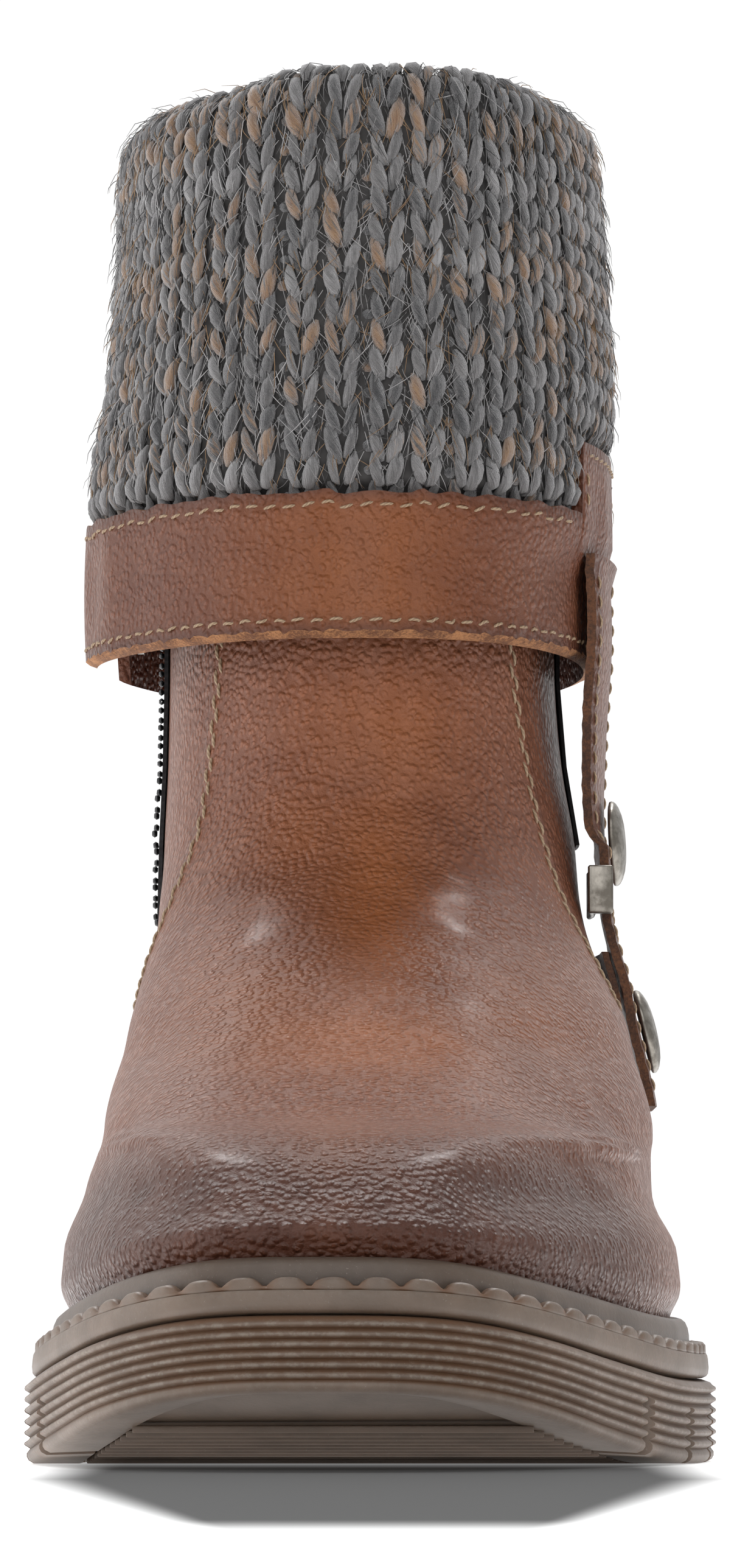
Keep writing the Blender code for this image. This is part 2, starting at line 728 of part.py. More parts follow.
BASE_GRID = upper_grid()
NORMALS = grid_normals(BASE_GRID)
ZIP_COLUMN = PANEL_COLUMNS + SIDE_COLUMNS + 1


def make_upper():
    """Hollow leather upper: vamp, front panel, quarters and shaft in one wall."""
    outer = stepped(BASE_GRID, NORMALS)
    inner = [[point - up * UPPER_WALL for point, up in zip(line, ups)]
             for line, ups in zip(BASE_GRID, NORMALS)]
    for line, base in zip(inner[:1] + inner[-1:], BASE_GRID[:1] + BASE_GRID[-1:]):
        for point, match in zip(line, base):
            point.z = match.z
    make_tube("upper", outer + inner[::-1], LEATHER)


def make_insole():
    """Insole board that closes the upper's floor."""
    low_ring = []
    for point, up in zip(BASE_GRID[0], NORMALS[0]):
        flat = Vector((up.x, up.y, 0)).normalized()
        low_ring.append(point - flat * (UPPER_WALL + INSOLE_GAP))
    high_ring = [point + Vector((0, 0, INSOLE_THICKNESS)) for point in low_ring]
    make_plate("insole", [low_ring, high_ring], LINING)


def surface_patch(name, columns, rows, lift, thickness, finish):
    """A strip that lies on the upper, between columns and rows of its grid."""
    def layer(height):
        return [[BASE_GRID[row][i] + NORMALS[row][i] * height for i in columns]
                for row in rows]

    low, high = layer(lift), layer(lift + thickness)
    rings = [low_line + high_line[::-1] for low_line, high_line in zip(low, high)]
    count = len(rings[0])
    points = [point for ring in rings for point in ring]
    faces = wall_faces(len(rings), count)
    half = len(columns)
    for start in (0, (len(rings) - 1) * count):
        for i in range(half - 1):
            faces.append((start + i, start + i + 1,
                          start + count - i - 2, start + count - i - 1))
    return make_object(name, points, faces, finish)


def medial(column):
    """Index of the medial column that mirrors a lateral one."""
    return len(BASE_GRID[0]) - column


def zip_line(z, lift):
    """Point over the zip's middle line at a height, its outward normal and its way across."""
    column = medial(ZIP_COLUMN + 1)
    row = max(i for i in range(len(BASE_GRID) - 1) if BASE_GRID[i][column].z <= z + 1e-9)
    low, high = BASE_GRID[row][column], BASE_GRID[row + 1][column]
    share = min((z - low.z) / (high.z - low.z), 1.0)
    up = NORMALS[row][column].lerp(NORMALS[row + 1][column], share).normalized()
    ends = [BASE_GRID[row][i].lerp(BASE_GRID[row + 1][i], share) for i in (column - 1, column + 1)]
    across = (ends[0] - ends[1]).normalized()
    return low.lerp(high, share) + up * lift, up, across


def make_zip():
    """Tape, closed chain of teeth, slider at the top, and its hanging pull."""
    rows = range(ZIP_BOTTOM_ROW, len(BASE_GRID))
    columns = [medial(ZIP_COLUMN + i) for i in range(3)]
    surface_patch("zip_tape", columns, rows, FIT_GAP, TAPE_THICKNESS, BLACK)
    lift = 2.5 * FIT_GAP + TAPE_THICKNESS
    bottom = BASE_GRID[ZIP_BOTTOM_ROW][columns[1]].z + TEETH_PITCH
    top = SLIDER_MIDDLE_Z - SLIDER_LENGTH / 2 - FIT_GAP
    steps = int((top - bottom) / (TEETH_PITCH / 2))
    rings = []
    for step in range(steps + 1):
        spot, up, along = zip_line(bottom + (top - bottom) * step / steps, lift)
        half = TEETH_WIDTH / 2 * (1.0 if step % 2 else TEETH_NARROW_SHARE)
        over = up * TEETH_HEIGHT
        rings.append([spot - along * half, spot + along * half,
                      spot + along * half + over, spot - along * half + over])
    points = [point for ring in rings for point in ring]
    faces = wall_faces(len(rings), 4)
    last = len(points) - 4
    faces += [(0, 1, 2, 3), (last, last + 1, last + 2, last + 3)]
    make_object("zip_teeth", points, faces, CHAIN, 20)
    make_slider_and_pull(lift)


def make_round_bar(name, middle, length, diameter, finish):
    """A round bar along Y."""
    rings = []
    for side in (-1, 1):
        turns = [2 * math.pi * i / PULL_BAR_SIDES for i in range(PULL_BAR_SIDES)]
        rings.append([Vector((middle[0] + diameter / 2 * math.cos(turn),
                              middle[1] + side * length / 2,
                              middle[2] + diameter / 2 * math.sin(turn))) for turn in turns])
    faces = wall_faces(2, PULL_BAR_SIDES)
    faces += [range(PULL_BAR_SIDES), range(PULL_BAR_SIDES, 2 * PULL_BAR_SIDES)]
    return make_object(name, rings[0] + rings[1], faces, finish)


def make_blocks(name, blocks, finish, body=None):
    """Boxes joined into one body by Boolean unions.

    The given body, or else the first box, carries the rest.
    """
    for number, (middle, size) in enumerate(blocks):
        corners = box_corners(middle, size)
        faces = [(0, 1, 3, 2), (4, 6, 7, 5), (0, 4, 5, 1),
                 (2, 3, 7, 6), (0, 2, 6, 4), (1, 5, 7, 3)]
        label = name if body is None else f"{name}_block_{number}"
        block = make_object(label, corners, faces, finish)
        if body is None:
            body = block
            continue
        block.hide_render = True
        block.display_type = "WIRE"
        union = body.modifiers.new(label, "BOOLEAN")
        union.operation = "UNION"
        union.object = block
    return body


def make_slider_and_pull(lift):
    """Slider with its bridge, and the pull whose cross bar turns under the bridge."""
    seat, _, _ = zip_line(SLIDER_MIDDLE_Z, lift)
    bar = PULL_THICKNESS
    bridge = BRIDGE_THICKNESS
    body_x = seat.x - FIT_GAP - SLIDER_THICKNESS / 2
    face_x = seat.x - FIT_GAP - SLIDER_THICKNESS
    axis_x = face_x - PULL_CLEARANCE - bar / 2
    bridge_x = axis_x - bar / 2 - PULL_CLEARANCE - bridge / 2
    bridge_reach = bridge_x - bridge / 2 - face_x
    leg_z = SLIDER_LENGTH / 2 - bridge
    y = seat.y
    blocks = [
        ((body_x, y, SLIDER_MIDDLE_Z), (SLIDER_THICKNESS, SLIDER_WIDTH, SLIDER_LENGTH)),
        ((bridge_x, y, SLIDER_MIDDLE_Z), (bridge, BRIDGE_WIDTH, 2 * leg_z + bridge)),
    ]
    for side in (-1, 1):
        blocks.append(((face_x + (bridge_reach + JOINT_BITE) / 2, y,
                        SLIDER_MIDDLE_Z + side * leg_z),
                       (abs(bridge_reach) + JOINT_BITE, POST_WIDTH, bridge)))
    make_blocks("zip_slider", blocks, METAL)
    inner = BRIDGE_WIDTH + 2 * PULL_CLEARANCE
    leg = (PULL_WIDTH - inner) / 2 - JOINT_BITE / 2
    head = leg_z + bridge + 2 * PULL_CLEARANCE + JOINT_BITE
    plate = PULL_LENGTH - head
    round_bar = make_round_bar("zip_pull", (axis_x, y, SLIDER_MIDDLE_Z), PULL_WIDTH, bar, METAL)
    blocks = [((axis_x, y, SLIDER_MIDDLE_Z - head - plate / 2), (bar, PULL_WIDTH, plate))]
    for side in (-1, 1):
        blocks.append(((axis_x, y + side * (inner + leg) / 2,
                        SLIDER_MIDDLE_Z - (head + JOINT_BITE) / 2),
                       (bar - JOINT_BITE, leg, head + JOINT_BITE)))
    make_blocks("zip_pull", blocks, METAL, round_bar)


def make_gore():
    """Black elastic gore let in on the lateral side of the shaft."""
    columns = [ZIP_COLUMN + i for i in range(4)]
    rows = range(len(BASE_GRID) - 5, len(BASE_GRID))
    surface_patch("elastic_gore", columns, rows, FIT_GAP, GORE_THICKNESS, BLACK)


def ramp(value, start, end):
    """Smooth step from 0 at start to 1 at end."""
    share = min(max((value - start) / (end - start), 0.0), 1.0)
    return share * share * (3 - 2 * share)


def cuff_angles():
    """Angles of the cuff's columns, with a close pair at each edge of the tab."""
    edge = TAB_EDGE_SHARE * math.pi
    marks = []
    for share in (TAB_START, TAB_END):
        marks += [share * math.pi - edge, share * math.pi + edge]
    even = [2 * math.pi * i / CUFF_STEPS for i in range(CUFF_STEPS)]
    pitch = 2 * math.pi / CUFF_STEPS
    kept = [angle for angle in even if all(abs(angle - mark) > pitch * 0.45 for mark in marks)]
    return sorted(kept + marks)


CUFF_ANGLES = cuff_angles()


def on_tab(angle, margin=0.0):
    """Whether a column of the cuff lies on the band's tab, or in a margin round it."""
    return TAB_START - margin < angle / math.pi < TAB_END + margin


def cuff_flare(y, z):
    """How far the medial side stands out in front of its slit, at a place and height."""
    middle = SLIT_MIDDLE_Y - SLIT_WIDTH * CUFF_FLARE_FORWARD
    near = math.exp(-(((y - middle) / (SLIT_WIDTH * CUFF_FLARE_SPREAD)) ** 2))
    return CUFF_FLARE * near * ramp(z, SLIT_TOP, BAND_TOP)


def cuff_spot(angle, out, z):
    """A point between the shaft's outline (out 0) and the cuff's outline (out 1)."""
    side = 1 if angle <= math.pi else -1
    share = angle / math.pi if side > 0 else 2 - angle / math.pi
    shaft = ring_spot(RINGS[-1], share, side)
    plan_x = side * abs(math.sin(angle)) ** CUFF_ROUNDNESS
    x = CUFF_MIDDLE_X + plan_x * CUFF_WIDTH / 2
    y = CUFF_FRONT_Y + CUFF_DEPTH * (1 - math.cos(angle)) / 2
    if side < 0:
        x += cuff_flare(y, z) * plan_x
    else:
        x -= CUFF_DRAW_IN * ramp(z, DRAW_IN_TOP, DRAW_IN_BOTTOM) * plan_x
    return Vector((shaft.x, shaft.y, z)).lerp(Vector((x, y, z)), out)


def cuff_ring(out, z, inset=0.0, tab_inset=None, tab_z=None):
    """One ring of the cuff, moved in by an inset along its plan's normal.

    tab_z takes the place of z on the columns of the tab, and tab_inset that of inset
    there and on the columns beside it, so that what lies under the tab clears its edge.
    """
    ring = []
    for angle in CUFF_ANGLES:
        near_tab = on_tab(angle, 2 * TAB_EDGE_SHARE)
        height = tab_z if on_tab(angle) and tab_z is not None else z
        depth = tab_inset if near_tab and tab_inset is not None else inset
        spot = cuff_spot(angle, out, height)
        after = cuff_spot((angle + CUFF_ANGLE_STEP) % (2 * math.pi), out, height)
        before = cuff_spot((angle - CUFF_ANGLE_STEP) % (2 * math.pi), out, height)
        along = (after - before).normalized()
        ring.append(spot + Vector((-along.y, along.x, 0)) * depth)
    return ring


def knit_z(height):
    """Height in the cuff at a share of the knit's drop."""
    return KNIT_BOTTOM + (CUFF_TOP - KNIT_BOTTOM) * height


def slit_cutter(target, name, reach_in, low):
    """A wedge that opens the medial side from below, narrow at its top."""
    x_in = -CUFF_WIDTH / 2 + reach_in
    x_out = -CUFF_WIDTH / 2 - SLIT_REACH_OUT
    slope = SLIT_WIDTH / 2 / (SLIT_TOP - BAND_BOTTOM)
    half = slope * (SLIT_TOP - low)
    corners = []
    for x in (x_out, x_in):
        for side in (-1, 1):
            corners.append(Vector((x, SLIT_MIDDLE_Y + side * half, low)))
            corners.append(Vector((x, SLIT_MIDDLE_Y + side * SLIT_TIP, SLIT_TOP)))
    add_cutter(target, name, [corners])


def make_knit_cuff():
    """Knit collar folded outward over the shaft: outer flap, top roll, inner flap."""
    tuck = BAND_THICKNESS + 2 * FIT_GAP
    swell = KNIT_SWELL_HEIGHT
    inner = KNIT_THICKNESS * INNER_FLAP_SHARE
    rings = [
        cuff_ring(1.0, KNIT_BOTTOM, tuck),
        cuff_ring(1.0, DRAW_IN_BOTTOM, tuck),
        cuff_ring(1.0, BAND_TOP + FIT_GAP, tuck),
        cuff_ring(1.0, BAND_TOP + swell, KNIT_SWELL_INSET, tuck),
        cuff_ring(1.0, TAB_TOP + FIT_GAP, 0.0, tuck),
        cuff_ring(1.0, TAB_TOP + swell, 0.0, KNIT_SWELL_INSET),
    ]
    rings += [cuff_ring(fold.out, knit_z(fold.height)) for fold in CUFF_OUTER_FACE]
    shaft_top = SHAFT_TOP + FIT_GAP
    rings.append(cuff_ring(0.0, shaft_top + swell, inner))
    rings.append(cuff_ring(0.0, shaft_top, inner))
    rings.append(cuff_ring(0.0, shaft_top, FIT_GAP))
    rings.append(cuff_ring(0.0, knit_z(INNER_FOLD_SIDE), FIT_GAP))
    rings.append(cuff_ring(INNER_FOLD_OUT, knit_z(INNER_FOLD_TOP)))
    rings.append(cuff_ring(1.0, knit_z(INNER_FOLD_SIDE), KNIT_THICKNESS))
    rings.append(cuff_ring(1.0, TAB_TOP + swell, KNIT_THICKNESS))
    rings.append(cuff_ring(1.0, KNIT_BOTTOM, tuck + KNIT_THICKNESS - BAND_THICKNESS))
    cuff = make_tube("knit_cuff", rings, KNIT)
    reach_in = KNIT_THICKNESS + KNIT_SLIT_MARGIN
    slit_cutter(cuff, "knit_slit_cutter", reach_in, KNIT_BOTTOM - SLIT_BELOW)


def make_cuff_band():
    """Leather band sewn round the cuff's lower edge, with a tab on the lateral side."""
    rings = [
        cuff_ring(1.0, BAND_BOTTOM),
        cuff_ring(1.0, DRAW_IN_BOTTOM),
        cuff_ring(1.0, BAND_TOP - BAND_THICKNESS),
        cuff_ring(1.0, BAND_TOP, tab_z=TAB_TOP),
        cuff_ring(1.0, BAND_TOP, BAND_THICKNESS, tab_z=TAB_TOP),
        cuff_ring(1.0, BAND_TOP - BAND_THICKNESS, BAND_THICKNESS),
        cuff_ring(1.0, DRAW_IN_BOTTOM, BAND_THICKNESS),
        cuff_ring(1.0, BAND_BOTTOM, BAND_THICKNESS),
    ]
    band = make_tube("cuff_band", rings, LEATHER)
    slit_cutter(band, "band_slit_cutter", BAND_SLIT_REACH_IN, BAND_BOTTOM - SLIT_BELOW)


def upper_tree():
    """Search tree over the upper's outer faces, with the panel step on."""
    grid = stepped(BASE_GRID, NORMALS)
    points = [point for line in grid for point in line]
    return BVHTree.FromPolygons(points, wall_faces(len(grid), len(grid[0])))


def lateral_face(tree, y, z):
    """The upper's x on the lateral side, at a place along and a height."""
    hit = tree.ray_cast(Vector((BALL_WIDTH, y, z)), Vector((-1, 0, 0)))[0]
    return hit.x


def side_clear(tree, y, z, thickness):
    """Least x of an outer face that clears the upper by the fit gap."""
    offsets = (-SIDE_REACH, 0, SIDE_REACH)
    faces = [lateral_face(tree, y + dy, z + dz) for dy in offsets for dz in offsets]
    return max(faces) + FIT_GAP + thickness


def band_face(y, z):
    """The band's x on the lateral side, at a place along and a height."""
    share = (y - CUFF_FRONT_Y) / CUFF_DEPTH
    return cuff_spot(math.acos(1 - 2 * share), 1.0, z).x


def loop_plate_face(tree, y):
    """Outer face of the loop's back plate, at a place along."""
    half = LOOP_HEIGHT / 2
    return max(side_clear(tree, y, LOOP_MIDDLE_Z + dz, LOOP_PLATE) for dz in (-half, 0, half))


def strap_outer(tree, y, z):
    """Outer face of the side strap at a place along and a height."""
    place = (STRAP_MIDDLE_Y + STRAP_WIDTH / 2 - y) / STRAP_WIDTH
    crown = table_value(STRAP_RUN, "height", "crown", z) * STRAP_WIDTH
    out = table_value(STRAP_RUN, "height", "out", z) - crown * place * place
    under = UNDERLAY_THICKNESS + FIT_GAP
    out = max(out, side_clear(tree, y, z, under + STRAP_THICKNESS))
    if abs(z - LOOP_MIDDLE_Z) < LOOP_HEIGHT:
        out = max(out, loop_plate_face(tree, y) + 2 * FIT_GAP + STRAP_THICKNESS)
    if z > BAND_BOTTOM - STRAP_THICKNESS:
        out = max(out, band_face(y, z) + 2 * FIT_GAP + STRAP_THICKNESS)
    return out


def side_strip(name, heights, outer_face, thickness):
    """A leather strip down the side: its outer face is a function of place and height."""
    across = STRAP_ACROSS_STEPS
    rings = []
    for z in heights:
        outer, inner = [], []
        for i in range(across + 1):
            y = STRAP_MIDDLE_Y + (i / across - 0.5) * STRAP_WIDTH
            x = outer_face(y, z)
            outer.append(Vector((x, y, z)))
            inner.append(Vector((x - thickness, y, z)))
        rings.append(outer + inner[::-1])
    count = len(rings[0])
    points = [point for ring in rings for point in ring]
    faces = wall_faces(len(rings), count)
    for start in (0, (len(rings) - 1) * count):
        for i in range(across):
            faces.append((start + i, start + i + 1,
                          start + count - i - 2, start + count - i - 1))
    return make_object(name, points, faces, LEATHER)


def make_rivet(name, tree, z):
    """Domed cap that sits on the strap, square to its face."""
    y = STRAP_MIDDLE_Y
    reach = RIVET_RADIUS
    across = strap_outer(tree, y + reach, z) - strap_outer(tree, y - reach, z)
    down = strap_outer(tree, y, z + reach) - strap_outer(tree, y, z - reach)
    out = Vector((1, -across / (2 * reach), -down / (2 * reach))).normalized()
    seat = Vector((strap_outer(tree, y, z), y, z))
    proud = max((Vector((strap_outer(tree, y + dy, z + dz), y + dy, z + dz)) - seat).dot(out)
                for dy in (-reach, 0, reach) for dz in (-reach, 0, reach))
    seat += out * (proud + FIT_GAP)
    side = out.cross(Vector((0, 0, 1))).normalized()
    up = side.cross(out)
    points = []
    for radius, height in RIVET_PROFILE:
        for i in range(RIVET_SIDES):
            turn = 2 * math.pi * i / RIVET_SIDES
            spread = side * math.cos(turn) + up * math.sin(turn)
            points.append(seat + spread * radius * RIVET_RADIUS + out * height * RIVET_DOME)
    faces = wall_faces(len(RIVET_PROFILE), RIVET_SIDES)
    faces.append(range(RIVET_SIDES))
    top = len(points)
    points.append(seat + out * RIVET_DOME)
    start = top - RIVET_SIDES
    faces += [(start + i, start + (i + 1) % RIVET_SIDES, top) for i in range(RIVET_SIDES)]
    make_object(name, points, faces, METAL)


def make_loop(tree):
    """Metal loop between strap and upper: a front bar with a back plate."""
    front = STRAP_MIDDLE_Y - STRAP_WIDTH / 2 - FIT_GAP
    bar_end = front - LOOP_BAR_WIDTH
    steps = 4
    places = [front + LOOP_PLATE_LENGTH * i / steps for i in range(steps + 1)]
    bar_face = loop_plate_face(tree, front) - LOOP_PLATE + LOOP_BAR_DEPTH
    outer = [(bar_face, bar_end), (bar_face, front)]
    outer += [(loop_plate_face(tree, y), y) for y in places]
    inner = [(loop_plate_face(tree, y) - LOOP_PLATE, y) for y in [bar_end] + places]
    plan = outer + inner[::-1]
    rings = [[Vector((x, y, LOOP_MIDDLE_Z + side * LOOP_HEIGHT / 2)) for x, y in plan]
             for side in (-1, 1)]
    points = rings[0] + rings[1]
    count = len(plan)
    faces = wall_faces(2, count) + [range(count), range(count, 2 * count)]
    loop = make_object("strap_loop", points, faces, METAL)
    edge = loop.modifiers.new("edge", "BEVEL")
    edge.width = LOOP_EDGE
    edge.segments = 1
    edge.angle_limit = math.radians(50)


def make_strap():
    """Side strap with its underlay, two rivets and the metal loop."""
    tree = upper_tree()
    heights = [rung.height for rung in STRAP_RUN]
    side_strip("side_strap", heights, lambda y, z: strap_outer(tree, y, z), STRAP_THICKNESS)
    step = (UNDERLAY_TOP - UNDERLAY_BOTTOM) / UNDERLAY_STEPS
    heights = [UNDERLAY_BOTTOM + step * i for i in range(UNDERLAY_STEPS + 1)]
    side_strip("strap_underlay", heights,
               lambda y, z: side_clear(tree, y, z, UNDERLAY_THICKNESS), UNDERLAY_THICKNESS)
    make_rivet("rivet_upper", tree, RIVET_HEIGHTS[0])
    make_rivet("rivet_lower", tree, RIVET_HEIGHTS[1])
    make_loop(tree)


def make_boot():
    """Every piece of the boot, from the ground up."""
    make_outsole()
    make_heel()
    make_midsole()
    make_bead_welt()
    make_welt()
    make_insole()
    make_upper()
    make_gore()
    make_zip()
    make_knit_cuff()
    make_cuff_band()
    make_strap()


for old in list(bpy.data.objects):
    bpy.data.objects.remove(old)
make_boot()
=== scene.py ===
"""The looks of a sweater boot for the left foot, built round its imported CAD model.

Metres, +Z up, toe to -Y, outer side of the foot to +X. The sole, the upper, the folded
knit collar and its leather band are drawn again at a finer step from the same tables as
the CAD, and dressed with stitches, yarn, creases and materials.
"""

import logging
import math
from dataclasses import dataclass
from enum import Enum
from functools import partial
from typing import Any, Callable, NamedTuple, Sequence

import bpy
import numpy as np
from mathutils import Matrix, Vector
from mathutils.bvhtree import BVHTree

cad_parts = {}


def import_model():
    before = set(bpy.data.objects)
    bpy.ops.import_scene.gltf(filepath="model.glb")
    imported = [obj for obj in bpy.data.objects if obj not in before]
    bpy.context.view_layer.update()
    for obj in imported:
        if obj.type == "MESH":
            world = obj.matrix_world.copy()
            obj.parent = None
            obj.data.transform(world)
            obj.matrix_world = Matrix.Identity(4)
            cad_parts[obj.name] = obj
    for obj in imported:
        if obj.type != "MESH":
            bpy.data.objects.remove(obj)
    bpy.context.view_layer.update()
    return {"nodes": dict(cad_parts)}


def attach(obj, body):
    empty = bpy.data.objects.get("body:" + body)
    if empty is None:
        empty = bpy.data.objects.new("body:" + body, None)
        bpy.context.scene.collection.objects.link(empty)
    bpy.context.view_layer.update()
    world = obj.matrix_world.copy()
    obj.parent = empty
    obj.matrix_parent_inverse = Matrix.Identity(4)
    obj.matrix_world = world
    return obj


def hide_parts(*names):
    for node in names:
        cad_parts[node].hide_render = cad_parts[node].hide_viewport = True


LOG = logging.getLogger("sweater_boot")
BOOT = "boot"
PULL = "pull"
Array = np.ndarray
Piece = bpy.types.Object
Material = bpy.types.Material
MM = 0.001
TURN = 6.2832


class Station(NamedTuple):
    """One row of the sole's table; see BootLast."""

    share: float
    middle: float
    half: float
    seat: float
    ground: float


class Ring(NamedTuple):
    """One row of the upper's table; see BootLast."""

    lift: float
    level: float
    blend: float
    front: float
    back: float
    medial: float
    lateral: float
    round: float
    seam: float
    step: float


STATIONS = (
    Station(0.00, -0.066, 0.490, 0.877, 1.000),
    Station(0.06, -0.060, 0.500, 0.800, 0.640),
    Station(0.12, -0.048, 0.505, 0.737, 0.330),
    Station(0.20, -0.028, 0.519, 0.670, 0.060),
    Station(0.28, -0.008, 0.519, 0.643, 0.000),
    Station(0.38, 0.014, 0.497, 0.650, 0.000),
    Station(0.46, 0.028, 0.450, 0.672, 0.000),
    Station(0.54, 0.032, 0.404, 0.720, 0.240),
    Station(0.62, 0.030, 0.386, 0.800, 0.560),
    Station(0.70, 0.021, 0.388, 0.890, 0.850),
    Station(0.80, 0.010, 0.413, 0.960, 1.050),
    Station(0.90, 0.000, 0.445, 0.990, 1.120),
    Station(1.00, 0.000, 0.450, 1.000, 1.130),
)

RINGS = (
    Ring(0.240, 0.000, 0.00, -0.4690, 0.4750, 0.5010, 0.5000, 0.00, 0.400, 0.0),
    Ring(0.400, 0.2674, 0.60, -0.4410, 0.4750, 0.4920, 0.4870, 0.00, 0.400, 0.0),
    Ring(0.520, 0.2878, 0.85, -0.4070, 0.4745, 0.4770, 0.4810, 0.00, 0.400, 0.0),
    Ring(0.570, 0.2977, 0.90, -0.3750, 0.4735, 0.4710, 0.4780, 0.00, 0.400, 0.0),
    Ring(0.600, 0.3040, 0.95, -0.3440, 0.4725, 0.4690, 0.4765, 0.00, 0.400, 0.0),
    Ring(0.700, 0.3198, 1.00, -0.3080, 0.4710, 0.4630, 0.4735, 0.00, 0.403, 0.0),
    Ring(0.800, 0.3488, 1.00, -0.2620, 0.4690, 0.4520, 0.4650, 0.10, 0.406, 0.0),
    Ring(0.900, 0.3837, 1.00, -0.2080, 0.4650, 0.4390, 0.4520, 0.25, 0.408, 0.0),
    Ring(1.000, 0.4273, 1.00, -0.1470, 0.4590, 0.4240, 0.4340, 0.40, 0.405, 0.8),
    Ring(1.000, 0.4826, 1.00, -0.0800, 0.4510, 0.4080, 0.4010, 0.60, 0.375, 1.0),
    Ring(1.000, 0.5465, 1.00, -0.0180, 0.4410, 0.3950, 0.3735, 0.80, 0.325, 1.0),
    Ring(1.000, 0.6163, 1.00, 0.0250, 0.4320, 0.3840, 0.3630, 0.95, 0.285, 1.0),
    Ring(1.000, 0.6977, 1.00, 0.0480, 0.4260, 0.3760, 0.3400, 1.00, 0.272, 1.0),
    Ring(1.000, 0.7849, 1.00, 0.0560, 0.4235, 0.3735, 0.3280, 1.00, 0.258, 1.0),
    Ring(1.000, 0.8837, 1.00, 0.0580, 0.4240, 0.3735, 0.3280, 1.00, 0.258, 1.0),
    Ring(1.000, 1.0000, 1.00, 0.0580, 0.4270, 0.3750, 0.3300, 1.00, 0.258, 1.0),
)


LASTING = ((0.30, -0.18), (0.22, -0.010), (-0.44, 0.110))


class Slot(Enum):
    """Material slots."""

    RUBBER = "rubber"
    LEATHER = "leather"
    KNIT = "knit"
    CHAIN = "black_metal"
    METAL = "metal"


def smooth_step(value: Array, start: float, end: float) -> Array:
    """Smooth rise from 0 at start to 1 at end."""
    share = np.clip((value - start) / (end - start), 0.0, 1.0)
    return share * share * (3.0 - 2.0 * share)


def unit(vectors: Array) -> Array:
    """Vectors made one long."""
    length = np.linalg.norm(vectors, axis=-1, keepdims=True)
    return vectors / np.maximum(length, 1e-12)


def run_along(points: Array) -> Array:
    """Distance along a line of points from the first to each."""
    return np.concatenate([[0], np.cumsum(np.linalg.norm(np.diff(points, axis=0), axis=1))])


def even_places(points: Array, places: Array, count: int) -> Array:
    """Places whose points stand at even distances along a closed line."""
    run = run_along(points)
    return np.interp(np.arange(count) * run[-1] / count, run, places)


def angle_at(share: float) -> float:
    """Angle round an outline at a share of its length, from the front."""
    return math.acos(1 - 2 * share)


def node_points(node: Piece) -> Array:
    """A CAD node's vertices."""
    return np.array([vertex.co[:] for vertex in node.data.vertices])


def table_value(table: Sequence[Any], key: str, column: str, place: Array) -> Array:
    """A column's value between the rows of a table, on the CAD's smooth curve.

    Args:
        table: rows in the order of their key.
        key: name of the column that says where each row is.
        column: name of the column to read.
        place: places to read it at.

    Returns:
        The value at each place.
    """
    places = np.array([getattr(row, key) for row in table], float)
    values = np.array([getattr(row, column) for row in table], float)
    place = np.clip(np.asarray(place, float), places[0], places[-1])
    row = np.clip(np.searchsorted(places, place, side="left") - 1, 0, len(places) - 2)
    low = np.maximum(np.arange(len(places)) - 1, 0)
    high = np.minimum(np.arange(len(places)) + 1, len(places) - 1)
    slopes = (values[high] - values[low]) / (places[high] - places[low])
    width = places[row + 1] - places[row]
    share = (place - places[row]) / width
    square, cube = share**2, share**3
    return (
        (2 * cube - 3 * square + 1) * values[row]
        + (cube - 2 * square + share) * width * slopes[row]
        + (3 * square - 2 * cube) * values[row + 1]
        + (cube - square) * width * slopes[row + 1]
    )


def finer_rows(grid: Array, steps: int) -> Array:
    """A grid with rows added between its own on a smooth curve.

    Args:
        grid: values whose first axis is the rows.
        steps: how many steps each gap between two rows becomes.

    Returns:
        The finer grid, which holds all of the old rows.
    """
    rows = len(grid)
    out = []
    for row in range(rows - 1):
        before, start = grid[max(row - 1, 0)], grid[row]
        end, after = grid[row + 1], grid[min(row + 2, rows - 1)]
        for step in range(steps):
            t = step / steps
            out.append(
                0.5 * (2 * start + (end - before) * t
                       + (2 * before - 5 * start + 4 * end - after) * t * t
                       + (3 * start - before - 3 * end + after) * t**3)
            )
    out.append(grid[-1])
    return np.array(out)


